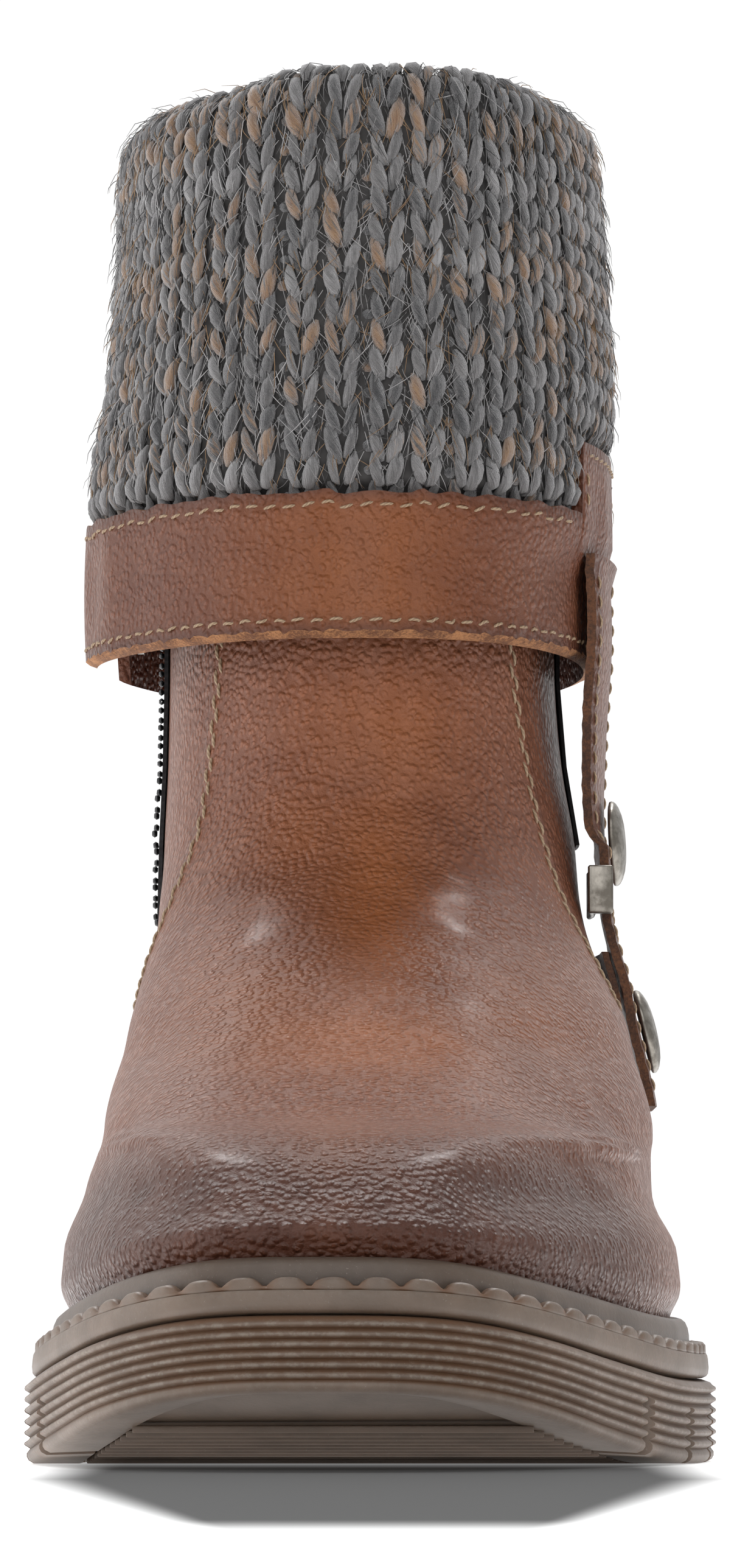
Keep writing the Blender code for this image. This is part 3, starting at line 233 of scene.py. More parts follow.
@dataclass
class BootLast:
    """The boot's own shape: sole outline, sole layers and the upper's rings, as in the CAD."""

    length: float = 0.2800
    ball_width: float = 0.1085
    upper_width: float = 0.0970
    seat_height: float = 0.0350
    toe_lift: float = 0.0111
    shaft_top: float = 0.1720
    end_roundness: float = 0.65
    gap: float = 0.0003
    flange_top: float = 0.26
    welt_inset: float = 0.00425
    welt_width: float = 0.0026
    steps: int = 26

    def __post_init__(self) -> None:
        """Work out the outline's span, which scales it to the ball's width."""
        angles = np.pi * np.arange(2 * self.steps) / self.steps
        reach = self.reach(angles)
        self.span = float(reach.max() - reach.min())
        self.middle = float(reach.max() + reach.min()) / 2
        spots = self.outline(angles)[0][..., 0]
        self.medial_reach = float(-spots.min())
        self.lateral_reach = float(spots.max())

    def reach(self, angle: Array) -> Array:
        """How far out the outline lies at an angle, in the table's shares."""
        share = (1 - np.cos(angle)) / 2
        side = np.where(angle <= np.pi, 1.0, -1.0)
        round_end = np.abs(np.sin(angle)) ** self.end_roundness
        return self.sole_value("middle", share) + side * round_end * self.sole_value("half", share)

    @staticmethod
    def sole_value(column: str, share: Array) -> Array:
        """A column of the sole's table at shares of the length."""
        return table_value(STATIONS, "share", column, share)

    def outline(self, angle: Array) -> tuple[Array, Array]:
        """The sole's outline at angles from the toe, and the share of the length."""
        angle = np.mod(angle, 2 * np.pi)
        share = (1 - np.cos(angle)) / 2
        x = (self.reach(angle) - self.middle) / self.span * self.ball_width
        return np.stack([x, (share - 0.5) * self.length], axis=-1), share

    def inset(self, angle: Array, inset: Array) -> tuple[Array, Array]:
        """The outline moved in by an inset, and the share of the length.

        Args:
            angle: angles from the toe.
            inset: distance inwards at each angle.

        Returns:
            Points x, y and their shares of the length.
        """
        step = 0.004
        before = self.outline(angle - step)[0]
        after = self.outline(angle + step)[0]
        here, share = self.outline(angle)
        along = unit(after - before)
        inward = np.stack([-along[..., 1], along[..., 0]], axis=-1)
        return here + inward * np.asarray(inset)[..., None], share

    def seat(self, share: Array) -> Array:
        """Height of the line where the upper leaves the welt."""
        return self.sole_value("seat", share) * self.seat_height

    def ground(self, share: Array) -> Array:
        """Height of the outsole's underside."""
        return np.maximum(self.sole_value("ground", share), 0) * self.toe_lift

    def layer(self, share: Array, down: Array) -> Array:
        """Height of a layer line, at a share of the sole's thickness below the seat."""
        return self.seat(share) - down * (self.seat(share) - self.ground(share))

    def sole_ring(self, angles: Array, inset: float, down: float, lift: float = 0.0) -> Array:
        """One ring of the sole: points at an inset from the ribs and a layer's height."""
        spot, share = self.inset(angles, np.full(angles.shape, inset))
        return np.concatenate([spot, (self.layer(share, down) + lift)[:, None]], axis=1)

    def even_angles(self, inset: float, count: int) -> Array:
        """Angles whose outline points lie at even distances."""
        fine = np.linspace(0, 2 * np.pi, 1441)
        spots = self.inset(fine, np.full(fine.shape, inset))[0]
        return even_places(spots, fine, count)

    def ring_points(self, ring: Ring, share: Array, side: Array) -> Array:
        """Points of the upper's outer face on one ring, without its panel step.

        Args:
            ring: the row of RINGS.
            share: shares of the way round, front to back.
            side: 1 on the outer side, -1 on the inner side.

        Returns:
            One point for each share.
        """
        angle = np.where(side > 0, np.pi * share, np.mod(np.pi * (2 - share), 2 * np.pi))
        width = np.where(side > 0, ring.lateral, ring.medial) * self.upper_width
        reach = np.where(side > 0, self.lateral_reach, self.medial_reach)
        along = (1 - np.cos(angle)) / 2
        foot_x = self.outline(angle)[0][..., 0] / reach
        oval_x = np.where(angle <= np.pi, 1.0, -1.0) * np.abs(np.sin(angle)) ** 0.9
        x = (foot_x * (1 - ring.round) + oval_x * ring.round) * width
        y = (ring.front + (ring.back - ring.front) * along) * self.length
        low = self.seat(y / self.length + 0.5) + ring.lift * self.seat_height
        z = low * (1 - ring.blend) + ring.level * self.shaft_top * ring.blend
        return np.stack([x, y, z], axis=-1)

    def lasting_points(self, inset: float, lift: float, share: Array, side: Array) -> Array:
        """Points of the upper's lasting edge, set in from the welt."""
        angle = np.where(side > 0, np.pi * share, np.mod(np.pi * (2 - share), 2 * np.pi))
        depth = self.welt_inset + self.welt_width * (1 + inset)
        spot, place = self.inset(angle, np.full(angle.shape, depth))
        z = self.seat(place) + lift * self.seat_height
        return np.concatenate([spot, z[..., None]], axis=-1)


class Crease(NamedTuple):
    """A soft trough across the front of the upper, between two places x, z in mm."""

    x0: float
    z0: float
    x1: float
    z1: float
    sag: float
    width: float
    depth: float


@dataclass
class Skin:
    """A surface known on a fine grid of points, which can be read between them."""

    points: Array
    closed: bool = True

    def __post_init__(self) -> None:
        """Work out the outward normals."""
        if self.closed:
            around = np.roll(self.points, -1, 1) - np.roll(self.points, 1, 1)
        else:
            around = np.gradient(self.points, axis=1)
        up = np.gradient(self.points, axis=0)
        self.normals = unit(np.cross(around, up))

    def read(self, grid: Array, row: Array, column: Array) -> Array:
        """Values of a grid between its rows and columns.

        Args:
            grid: values on this surface's rows and columns.
            row: rows to read at, in steps of the grid.
            column: columns to read at, in steps of the grid.

        Returns:
            One value for each place.
        """
        rows, columns = grid.shape[:2]
        row = np.clip(row, 0, rows - 1.000001)
        column = np.mod(column, columns) if self.closed else np.clip(column, 0, columns - 1.000001)
        r0, c0 = row.astype(int), column.astype(int)
        fr, fc = (row - r0)[..., None], (column - c0)[..., None]
        c0 = np.mod(c0, columns)
        c1 = np.mod(c0 + 1, columns)
        r1 = np.minimum(r0 + 1, rows - 1)
        low = grid[r0, c0] * (1 - fc) + grid[r0, c1] * fc
        high = grid[r1, c0] * (1 - fc) + grid[r1, c1] * fc
        return low * (1 - fr) + high * fr

    def at(self, row: Array, column: Array, lift: Array | float = 0.0) -> Array:
        """Points at a height over the surface."""
        spot = self.read(self.points, row, column)
        up = unit(self.read(self.normals, row, column))
        return spot + up * np.asarray(lift)[..., None]

    def frame(self, spot: Array, row: Array, column: Array) -> tuple[Array, Array, Array]:
        """Unit vectors up from the surface, along and across paths that lie on it."""
        up = unit(self.read(self.normals, row, column))
        along = unit(np.gradient(spot, axis=1))
        return up, along, unit(np.cross(up, along))

    def columns_per_mm(self) -> float:
        """Mean number of columns in a millimetre of the way round."""
        steps = np.linalg.norm(np.roll(self.points, -1, 1) - self.points, axis=2)
        return self.points.shape[1] / (float(steps.sum(axis=1).mean()) / MM)


class Bench:
    """Tools that make, join and finish meshes with Blender's operators."""

    @staticmethod
    def deselect() -> None:
        """Leave nothing selected."""
        bpy.ops.object.select_all(action="DESELECT")

    @staticmethod
    def activate(piece: Piece) -> None:
        """Make one piece the only selected and active one."""
        Bench.deselect()
        piece.select_set(True)
        bpy.context.view_layer.objects.active = piece

    @staticmethod
    def edit(piece: Piece, *steps: Callable[[], Any]) -> None:
        """Take steps in edit mode, with all of a piece selected at the start."""
        Bench.activate(piece)
        bpy.ops.object.mode_set(mode="EDIT")
        bpy.ops.mesh.select_all(action="SELECT")
        for step in steps:
            step()
        bpy.ops.object.mode_set(mode="OBJECT")

    @staticmethod
    def grid(name: str, points: Array, wrap: bool = False, loop: bool = False,
             marks: dict[str, Array] | None = None) -> Piece:
        """A sheet of quads laid through a grid of points.

        Args:
            name: the piece's name.
            points: rows, columns and the three coordinates.
            wrap: whether the last column meets the first.
            loop: whether the last row meets the first.
            marks: values for each row or each point of the grid, kept as attributes.

        Returns:
            The sheet, with a UV map across columns and rows.
        """
        layers = {"": points}
        for key, values in (marks or {}).items():
            values = values[:, None] if values.ndim == 1 else values
            layers[key] = np.broadcast_to(values, points.shape[:2])
        for key, values in layers.items():
            if wrap:
                values = np.concatenate([values, values[:, :1]], axis=1)
            if loop:
                values = np.concatenate([values, values[:1]], axis=0)
            layers[key] = values
        rows, columns = layers[""].shape[:2]
        Bench.deselect()
        bpy.ops.mesh.primitive_grid_add(x_subdivisions=columns - 1, y_subdivisions=rows - 1)
        made = bpy.context.object
        made.name = made.data.name = name
        made.data.vertices.foreach_set("co", layers[""].astype(np.float32).ravel())
        for key, values in layers.items():
            if key:
                mark = made.data.attributes.new(key, "FLOAT", "POINT")
                mark.data.foreach_set("value", values.astype(np.float32).ravel())
        Bench.edit(made, partial(bpy.ops.mesh.remove_doubles, threshold=1e-6))
        bpy.ops.object.shade_smooth()
        return made

    @staticmethod
    def face_out(piece: Piece) -> None:
        """Turn a closed shell's faces outward."""
        Bench.edit(piece, partial(bpy.ops.mesh.normals_make_consistent, inside=False))

    @staticmethod
    def arrays(name: str, points: Array, faces: Array, uvs: Array | None = None,
               marks: dict[str, Array] | None = None) -> Piece:
        """A mesh from arrays, for shapes that repeat hundreds of times.

        Args:
            name: the piece's name.
            points: one row of three for each vertex.
            faces: one row for each face, all of the same number of corners.
            uvs: one row of two for each vertex.
            marks: one value for each vertex, kept as attributes.

        Returns:
            The piece.
        """
        mesh = bpy.data.meshes.new(name)
        corners = faces.shape[1]
        mesh.vertices.add(len(points))
        mesh.vertices.foreach_set("co", points.astype(np.float32).ravel())
        mesh.loops.add(faces.size)
        mesh.loops.foreach_set("vertex_index", faces.astype(np.int32).ravel())
        mesh.polygons.add(len(faces))
        mesh.polygons.foreach_set("loop_start", np.arange(0, faces.size, corners, dtype=np.int32))
        mesh.update(calc_edges=True)
        if uvs is not None:
            layer = mesh.uv_layers.new(name="UVMap")
            layer.data.foreach_set("uv", uvs[faces.ravel()].astype(np.float32).ravel())
        for key, values in (marks or {}).items():
            mark = mesh.attributes.new(key, "FLOAT", "POINT")
            mark.data.foreach_set("value", values.astype(np.float32).ravel())
        mesh.validate()
        mesh.shade_smooth()
        made = bpy.data.objects.new(name, mesh)
        bpy.context.scene.collection.objects.link(made)
        return made

    @staticmethod
    def strands(paths: Array, across: Array, wide: Array, high: Array, sides: int,
                up: Array) -> tuple[Array, Array, Array]:
        """Vertices and faces of many closed strands, each round a short path.

        Args:
            paths: strands, stops along each and the three coordinates.
            across: unit vectors across each stop.
            wide: half width at each stop.
            high: half height at each stop.
            sides: corners of the section.
            up: unit vectors up from each stop.

        Returns:
            Points, quad faces and UVs. The ends close to a point in width and height.
        """
        count, stops = paths.shape[:2]
        turn = 2 * np.pi * np.arange(sides) / sides
        cos, sin = np.cos(turn)[None, None, :, None], np.sin(turn)[None, None, :, None]
        points = (paths[:, :, None, :] + across[:, :, None, :] * wide[:, :, None, None] * cos
                  + up[:, :, None, :] * high[:, :, None, None] * sin)
        stop, side = np.meshgrid(np.arange(stops - 1), np.arange(sides), indexing="ij")
        beside = (side + 1) % sides
        quad = np.stack([stop * sides + side, stop * sides + beside,
                         (stop + 1) * sides + beside, (stop + 1) * sides + side], axis=-1)
        quad = quad.reshape(-1, 4)
        faces = (quad[None] + (np.arange(count) * stops * sides)[:, None, None]).reshape(-1, 4)
        u = np.broadcast_to((np.arange(sides) / sides)[None, None, :], (count, stops, sides))
        v = np.broadcast_to((np.arange(stops) / (stops - 1))[None, :, None], (count, stops, sides))
        uvs = np.stack([u, v], axis=-1).reshape(-1, 2)
        return points.reshape(-1, 3), faces, uvs

    @staticmethod
    def boxes(name: str, corners: Sequence[Array], edge: float = 0.0) -> Piece:
        """Closed boxes in one piece, each through eight corners ordered by x, y and z.

        Args:
            name: the piece's name.
            corners: eight points for each box.
            edge: bevel of the edges, 0 for none.

        Returns:
            The piece.
        """
        order = np.array([(0, 1, 3, 2), (4, 6, 7, 5), (0, 4, 5, 1),
                          (2, 3, 7, 6), (0, 2, 6, 4), (1, 5, 7, 3)])
        faces = np.concatenate([order + 8 * i for i in range(len(corners))])
        made = Bench.arrays(name, np.concatenate(corners), faces)
        Bench.face_out(made)
        if edge:
            Bench.finish(made, "BEVEL", width=edge, segments=2, limit_method="NONE")
        return made

    @staticmethod
    def carve(piece: Piece, corners: Sequence[Array], edge: float = 0.0) -> None:
        """Cut closed boxes of eight corners out of a piece.

        Args:
            piece: the closed solid that is cut.
            corners: eight points for each box, ordered by x, y and z.
            edge: bevel of the boxes' edges.
        """
        tool = Bench.boxes(piece.name + "_carver", corners, edge)
        Bench.finish(piece, "BOOLEAN", operation="DIFFERENCE", object=tool, use_self=True)
        bpy.data.objects.remove(tool)

    @staticmethod
    def finish(piece: Piece, kind: str, **settings: Any) -> None:
        """Add a modifier with these settings and apply it."""
        Bench.activate(piece)
        modifier = piece.modifiers.new(kind.lower(), kind)
        for key, value in settings.items():
            setattr(modifier, key, value)
        bpy.ops.object.modifier_apply(modifier=modifier.name)

    @staticmethod
    def smooth_by_angle(piece: Piece, degrees: float) -> None:
        """Smooth shading that keeps edges over an angle sharp."""
        Bench.activate(piece)
        bpy.ops.object.shade_smooth_by_angle(angle=math.radians(degrees))

    @staticmethod
    def place(piece: Piece, material: Material, slot: Slot,
              *nodes: str, body: str = BOOT) -> Piece:
        """Dress a finished piece, let it ride on its body and stand for CAD nodes."""
        piece.data.materials.clear()
        piece.data.materials.append(material)
        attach(piece, body)
        if nodes:
            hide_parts(*nodes)
        LOG.info("%s: %d faces", piece.name, len(piece.data.polygons))
        return piece


@dataclass
class Flow:
    """A shader socket that takes part in Python expressions."""

    shader: "Shader"
    socket: bpy.types.NodeSocket

    def __add__(self, other: "Flow | float") -> "Flow":
        """Sum."""
        return self.shader.math("ADD", self, other)

    __radd__ = __add__

    def __sub__(self, other: "Flow | float") -> "Flow":
        """Difference."""
        return self.shader.math("SUBTRACT", self, other)

    def __rsub__(self, other: "Flow | float") -> "Flow":
        """Difference the other way round."""
        return self.shader.math("SUBTRACT", other, self)

    def __mul__(self, other: "Flow | float") -> "Flow":
        """Product."""
        return self.shader.math("MULTIPLY", self, other)

    __rmul__ = __mul__

    def __truediv__(self, other: "Flow | float") -> "Flow":
        """Quotient."""
        return self.shader.math("DIVIDE", self, other)


Colour = tuple[float, float, float]


class Shader:
    """A material or the sky under construction: nodes, and maths on their sockets."""

    def __init__(self, name: str, sky: bool = False) -> None:
        """Start an empty material with its Principled shader, or an empty sky."""
        self.owner = (bpy.data.worlds if sky else bpy.data.materials).new(name)
        self.owner.use_nodes = True
        self.nodes = self.owner.node_tree.nodes
        self.links = self.owner.node_tree.links
        self.skin = self.nodes["Background" if sky else "Principled BSDF"]

    def plug(self, socket: bpy.types.NodeSocket, value: Any) -> None:
        """Link a flow to a socket, or set the socket's own value."""
        if isinstance(value, Flow):
            self.links.new(value.socket, socket)
        elif socket.type == "RGBA" and len(value) == 3:
            socket.default_value = (*value, 1.0)
        else:
            socket.default_value = value

    def node(self, kind: str, settings: dict[str, Any] | None = None,
             sockets: dict[Any, Any] | None = None, out: int | str = 0) -> Flow:
        """Add a node.

        Args:
            kind: the node's type.
            settings: its own properties, or "stops" for a ramp's stops.
            sockets: values or flows of its inputs, by name or number.
            out: the output to hand on.

        Returns:
            The chosen output.
        """
        made = self.nodes.new(kind)
        for key, value in (settings or {}).items():
            if key == "stops":
                self.set_stops(made.color_ramp, value)
            else:
                setattr(made, key, value)
        for key, value in (sockets or {}).items():
            self.plug(made.inputs[key], value)
        return Flow(self, made.outputs[out])

    @staticmethod
    def set_stops(ramp: bpy.types.ColorRamp, stops: Sequence[tuple[float, Colour]]) -> None:
        """Give a colour ramp its stops."""
        while len(ramp.elements) < len(stops):
            ramp.elements.new(1.0)
        for element, (place, colour) in zip(ramp.elements, stops):
            element.position = place
            element.color = (*colour, 1.0)

    def math(self, operation: str, *values: "Flow | float") -> Flow:
        """A Math node."""
        return self.node("ShaderNodeMath", {"operation": operation}, dict(enumerate(values)))

    def place(self, scale: Colour = (1.0, 1.0, 1.0), warp: Flow | None = None) -> Flow:
        """Object coordinates, scaled, and shifted by a warp if there is one."""
        at = self.node("ShaderNodeTexCoord", out="Object")
        if warp is not None:
            at = self.node("ShaderNodeVectorMath", {"operation": "ADD"}, {0: at, 1: warp})
        return self.node("ShaderNodeMapping", {}, {"Vector": at, "Scale": scale})

    def axis(self, name: str) -> Flow:
        """One of the object coordinates, in metres."""
        at = self.node("ShaderNodeTexCoord", out="Object")
        return self.node("ShaderNodeSeparateXYZ", {}, {"Vector": at}, out=name)

    def uv(self, name: str) -> Flow:
        """One coordinate of the UV map: X round a strand, Y along it."""
        at = self.node("ShaderNodeUVMap", {"uv_map": "UVMap"})
        return self.node("ShaderNodeSeparateXYZ", {}, {"Vector": at}, out=name)

    def mark(self, name: str) -> Flow:
        """A value kept on the mesh."""
        return self.node("ShaderNodeAttribute", {"attribute_name": name}, out="Fac")

    def noise(self, at: Flow, size: float, detail: float = 3.0, rough: float = 0.5,
              out: str = "Fac") -> Flow:
        """Noise whose blobs are about size metres wide."""
        return self.node("ShaderNodeTexNoise", {},
                         {"Vector": at, "Scale": 1.0 / size, "Detail": detail,
                          "Roughness": rough}, out=out)

    def ramp(self, value: Flow, start: float, end: float, low: float = 0.0,
             high: float = 1.0) -> Flow:
        """Smooth way from low to high between two values."""
        return self.node("ShaderNodeMapRange", {"interpolation_type": "SMOOTHSTEP"},
                         {"Value": value, "From Min": start, "From Max": end,
                          "To Min": low, "To Max": high}, out="Result")

    def mix(self, share: "Flow | float", first: Any, second: Any) -> Flow:
        """A mix of two colours."""
        return self.node("ShaderNodeMix", {"data_type": "RGBA"},
                         {0: share, 6: first, 7: second}, out=2)

    def bump(self, height: Flow, depth: float, below: Flow | None = None) -> Flow:
        """A Bump node: height of 1 stands for depth metres."""
        sockets: dict[str, Any] = {"Height": height, "Distance": depth, "Strength": 1.0}
        if below is not None:
            sockets["Normal"] = below
        return self.node("ShaderNodeBump", {}, sockets, out="Normal")

    def dress(self, **sockets: Any) -> Material | bpy.types.World:
        """Set the closing shader's sockets, by names with spaces as underscores."""
        for key, value in sockets.items():
            self.plug(self.skin.inputs[key.replace("_", " ")], value)
        return self.owner


@dataclass(frozen=True)
class Leather:
    """Cognac leather: pebbled grain with painted shade in its cracks, mottled dye with painted
    deeper amber on the front faces, burnished toe and edges.
    """

    name: str
    dye: Colour = (0.165, 0.054, 0.025)
    dark: Colour = (0.055, 0.018, 0.010)
    light: Colour = (0.225, 0.086, 0.046)
    amber: Colour = (0.300, 0.092, 0.022)
    pebble: float = 0.00115
    grain_depth: float = 0.00054
    burnish_toe: bool = False

    def material(self) -> Material:
        """The leather's material."""
        made = Shader(self.name)
        at = made.place()
        sway = made.noise(at, 0.004, 2.0, out="Color")
        sway = made.node("ShaderNodeVectorMath", {"operation": "SCALE"},
                         {0: sway, "Scale": 0.0012})
        warped = made.place(warp=sway)
        cells = made.node("ShaderNodeTexVoronoi", {"feature": "SMOOTH_F1"},
                          {"Vector": warped, "Scale": 1 / self.pebble, "Smoothness": 0.35},
                          out="Distance")
        fine = made.noise(at, 0.00028, 3.0)
        pebbles = made.ramp(cells, 0.15, 0.75)
        wide = made.noise(at, 0.030, 4.0, 0.55)
        patch = made.noise(at, 0.008, 3.0, 0.6)
        tone = made.ramp(wide * 0.6 + patch * 0.4, 0.32, 0.68)
        colour = made.mix(tone, self.dye, self.light)
        # Darker at the pebbles' edges: painted shade in the cracks of the grain.
        colour = made.mix(pebbles * 0.42, colour, self.dark)
        # Amber patches: partly mottled dye, partly the painted deep tone of the front faces, which
        # reflect little light.
        colour = made.mix(made.mark("warm") * (0.35 + 0.5 * patch), colour, self.amber)
        edge = made.mark("burnish")
        shade = edge * 0.75
        if self.burnish_toe:
            low = 1 - made.ramp(made.axis("Z"), 0.040, 0.056)
            toe = 1 - made.ramp(made.axis("Y"), -0.095, -0.040)
            shade = made.math("MAXIMUM", shade, low * toe * 0.95)
        shade = shade * (0.65 + 0.6 * patch)
        colour = made.mix(made.math("MINIMUM", shade, 1.0), colour, self.dark)
        height = (1 - pebbles) * 0.75 + fine * 0.25
        normal = made.bump(made.noise(at, 0.006, 3.0), 0.0007)
        normal = made.bump(height, self.grain_depth, normal)
        rough = 0.27 + 0.16 * pebbles + 0.08 * fine
        return made.dress(Base_Color=colour, Roughness=rough, Normal=normal,
                          Coat_Weight=0.08, Coat_Roughness=0.20, Specular_IOR_Level=0.27)


@dataclass(frozen=True)
class CutEdge:
    """The raw cut edge of leather: pale fibres and a dark skin line."""

    name: str
    raw: Colour = (0.40, 0.185, 0.075)
    dark: Colour = (0.12, 0.045, 0.018)

    def material(self) -> Material:
        """The edge's material."""
        made = Shader(self.name)
        at = made.place()
        fibre = made.noise(at, 0.00045, 4.0, 0.65)
        patch = made.noise(at, 0.004, 3.0)
        colour = made.mix(made.ramp(fibre * 0.6 + patch * 0.4, 0.38, 0.66), self.dark, self.raw)
        return made.dress(Base_Color=colour, Roughness=0.85, Normal=made.bump(fibre, 0.0003))


@dataclass(frozen=True)
class Rubber:
    """Smoky rubber that lets some light in: taupe, orange-brown in the rib valleys and painted
    deeper amber at the toe's front, with painted shade in the valleys.
    """

    name: str
    taupe: Colour = (0.142, 0.100, 0.073)
    amber: Colour = (0.150, 0.062, 0.022)
    deep: Colour = (0.070, 0.050, 0.036)
    dust: Colour = (0.34, 0.31, 0.27)

    def material(self) -> Material:
        """The rubber's material."""
        made = Shader(self.name)
        at = made.place()
        cloud = made.noise(at, 0.012, 4.0, 0.6)
        speck = made.ramp(made.noise(at, 0.00055, 2.0, 0.7), 0.66, 0.74)
        # Mask of the toe's front middle: there the valleys get painted deeper amber, the saturated
        # tone that the sides lose to grazing sheen.
        centre = 1 - made.ramp(made.math("ABSOLUTE", made.axis("X") + 0.004), 0.012, 0.046)
        front = 1 - made.ramp(made.axis("Y"), -0.110, -0.060)
        valley = made.mark("valley")
        crest = made.mark("crest")
        colour = made.mix(made.ramp(cloud, 0.35, 0.70) * 0.45, self.taupe, self.deep)
        colour = made.mix(valley * (0.35 + 0.5 * centre * front), colour, self.amber)
        # Hollows darkened towards the deep colour: painted shade between ribs, beads and layers.
        colour = made.mix(valley * 0.35, colour, self.deep)
        wear = crest * made.ramp(made.noise(at, 0.0016, 4.0, 0.7), 0.45, 0.62)
        colour = made.mix(made.math("MINIMUM", wear * 0.24 + speck * 0.20, 1.0), colour, self.dust)
        fine = made.noise(at, 0.0007, 3.0)
        return made.dress(Base_Color=colour, Roughness=0.40 + 0.22 * cloud,
                          Normal=made.bump(fine, 0.00006), Coat_Weight=0.10,
                          Coat_Roughness=0.35, Subsurface_Weight=0.12,
                          Subsurface_Radius=(0.9, 0.45, 0.25), Subsurface_Scale=0.004)


@dataclass(frozen=True)
class Yarn:
    """Marled wool: charcoal, mid grey and pale blue-grey plies with tan ones."""

    name: str
    charcoal: Colour = (0.020, 0.021, 0.023)
    grey: Colour = (0.100, 0.096, 0.096)
    pale: Colour = (0.42, 0.41, 0.41)
    tan: Colour = (0.28, 0.170, 0.085)

    def material(self) -> Material:
        """The yarn's material, which follows each stitch by its UV map."""
        made = Shader(self.name)
        along, seed = made.uv("Y"), made.mark("seed")
        turn = (made.uv("X") + along * 0.35) * TURN
        cosine, sine = made.math("COSINE", turn), made.math("SINE", turn)
        where = made.node("ShaderNodeCombineXYZ", {},
                          {"X": cosine * 2.0 + seed * 37.0, "Y": sine * 2.0,
                           "Z": along * 1.1 + seed * 11.0})
        ply = made.noise(where, 1.0, 3.0, 0.7)
        streak = made.node("ShaderNodeCombineXYZ", {},
                           {"X": cosine * 7.0 + seed * 91.0, "Y": sine * 7.0,
                            "Z": along * 2.6})
        hair = made.noise(streak, 1.0, 4.0, 0.75)
        tone = ply * 0.36 + hair * 0.64 + (made.mark("shade") - 0.5) * 0.42 - 0.052
        colour = made.node("ShaderNodeValToRGB",
                           {"stops": ((0.30, self.charcoal), (0.47, self.grey),
                                      (0.60, (0.21, 0.205, 0.207)), (0.76, self.pale))},
                           {"Fac": tone}, out="Color")
        tan = made.ramp(made.mark("tan") + (ply - 0.5) * 1.5 + (hair - 0.5) * 0.6, 0.50, 0.66)
        tan_tone = made.mix(made.ramp(hair, 0.3, 0.7), (0.12, 0.050, 0.020), self.tan)
        colour = made.mix(tan, colour, tan_tone)
        normal = made.bump(hair, 0.00035)
        return made.dress(Base_Color=colour, Roughness=0.92, Normal=normal,
                          Sheen_Weight=0.9, Sheen_Roughness=0.5,
                          Sheen_Tint=(0.86, 0.85, 0.86, 1.0), Specular_IOR_Level=0.2)


@dataclass(frozen=True)
class Fibre:
    """Single loose hairs of the yarn."""

    name: str
    dark: Colour = (0.040, 0.039, 0.040)
    pale: Colour = (0.44, 0.43, 0.43)
    tan: Colour = (0.24, 0.155, 0.090)

    def material(self) -> Material:
        """The hairs' material, one tone for each."""
        made = Shader(self.name)
        tone = made.ramp(made.mark("shade"), 0.05, 1.25)
        colour = made.mix(tone, self.dark, self.pale)
        colour = made.mix(made.mark("tan"), colour, self.tan)
        return made.dress(Base_Color=colour, Roughness=0.75, Specular_IOR_Level=0.2)


@dataclass(frozen=True)
class Cloth:
    """Plain dark cloth: lining, elastic, zip tape, or the knit's dark ground, which paints the
    shade between its stitches.
    """

    name: str
    colour: Colour = (0.012, 0.012, 0.013)
    light: Colour = (0.035, 0.034, 0.036)
    thread: float = 0.0005
    roughness: float = 0.85

    def material(self) -> Material:
        """The cloth's material."""
        made = Shader(self.name)
        warp, weft = (made.node("ShaderNodeTexWave", {"bands_direction": axis},
                                {"Vector": made.place(), "Scale": 0.1 / self.thread,
                                 "Distortion": 0.6, "Detail": 2.0, "Detail Scale": 3.0})
                      for axis in "YZ")
        weave = warp * 0.5 + weft * 0.5
        fluff = made.noise(made.place(), 0.003, 4.0)
        colour = made.mix(weave * 0.6 + fluff * 0.4, self.colour, self.light)
        return made.dress(Base_Color=colour, Roughness=self.roughness,
                          Normal=made.bump(weave, 0.00012), Specular_IOR_Level=0.3)


@dataclass(frozen=True)
class Thread:
    """Waxed sewing thread."""

    name: str
    colour: Colour = (0.38, 0.27, 0.17)
    dark: Colour = (0.17, 0.105, 0.060)

    def material(self) -> Material:
        """The thread's material, twisted along its UV map."""
        made = Shader(self.name)
        twist = made.uv("X") * 2.0 + made.uv("Y") * 3.0
        ply = made.math("SINE", twist * TURN) * 0.5 + 0.5
        dirt = made.noise(made.place(), 0.006, 3.0)
        colour = made.mix(ply * 0.6 + dirt * 0.4, self.dark, self.colour)
        return made.dress(Base_Color=colour, Roughness=0.6, Normal=made.bump(ply, 0.00008))


@dataclass(frozen=True)
class Metal:
    """Aged metal with fine brushing and tarnish."""

    name: str
    colour: Colour = (0.27, 0.25, 0.22)
    tarnish: Colour = (0.085, 0.074, 0.060)
    roughness: float = 0.28

    def material(self) -> Material:
        """The metal's material."""
        made = Shader(self.name)
        at = made.place()
        spots = made.ramp(made.noise(at, 0.0035, 5.0, 0.65), 0.38, 0.66)
        lines = made.noise(made.place((1.0, 1.0, 0.08)), 0.0004, 3.0)
        colour = made.mix(spots * 0.7, self.colour, self.tarnish)
        return made.dress(Base_Color=colour, Metallic=1.0,
                          Roughness=self.roughness + 0.20 * spots + 0.08 * lines,
                          Normal=made.bump(lines, 0.00002))


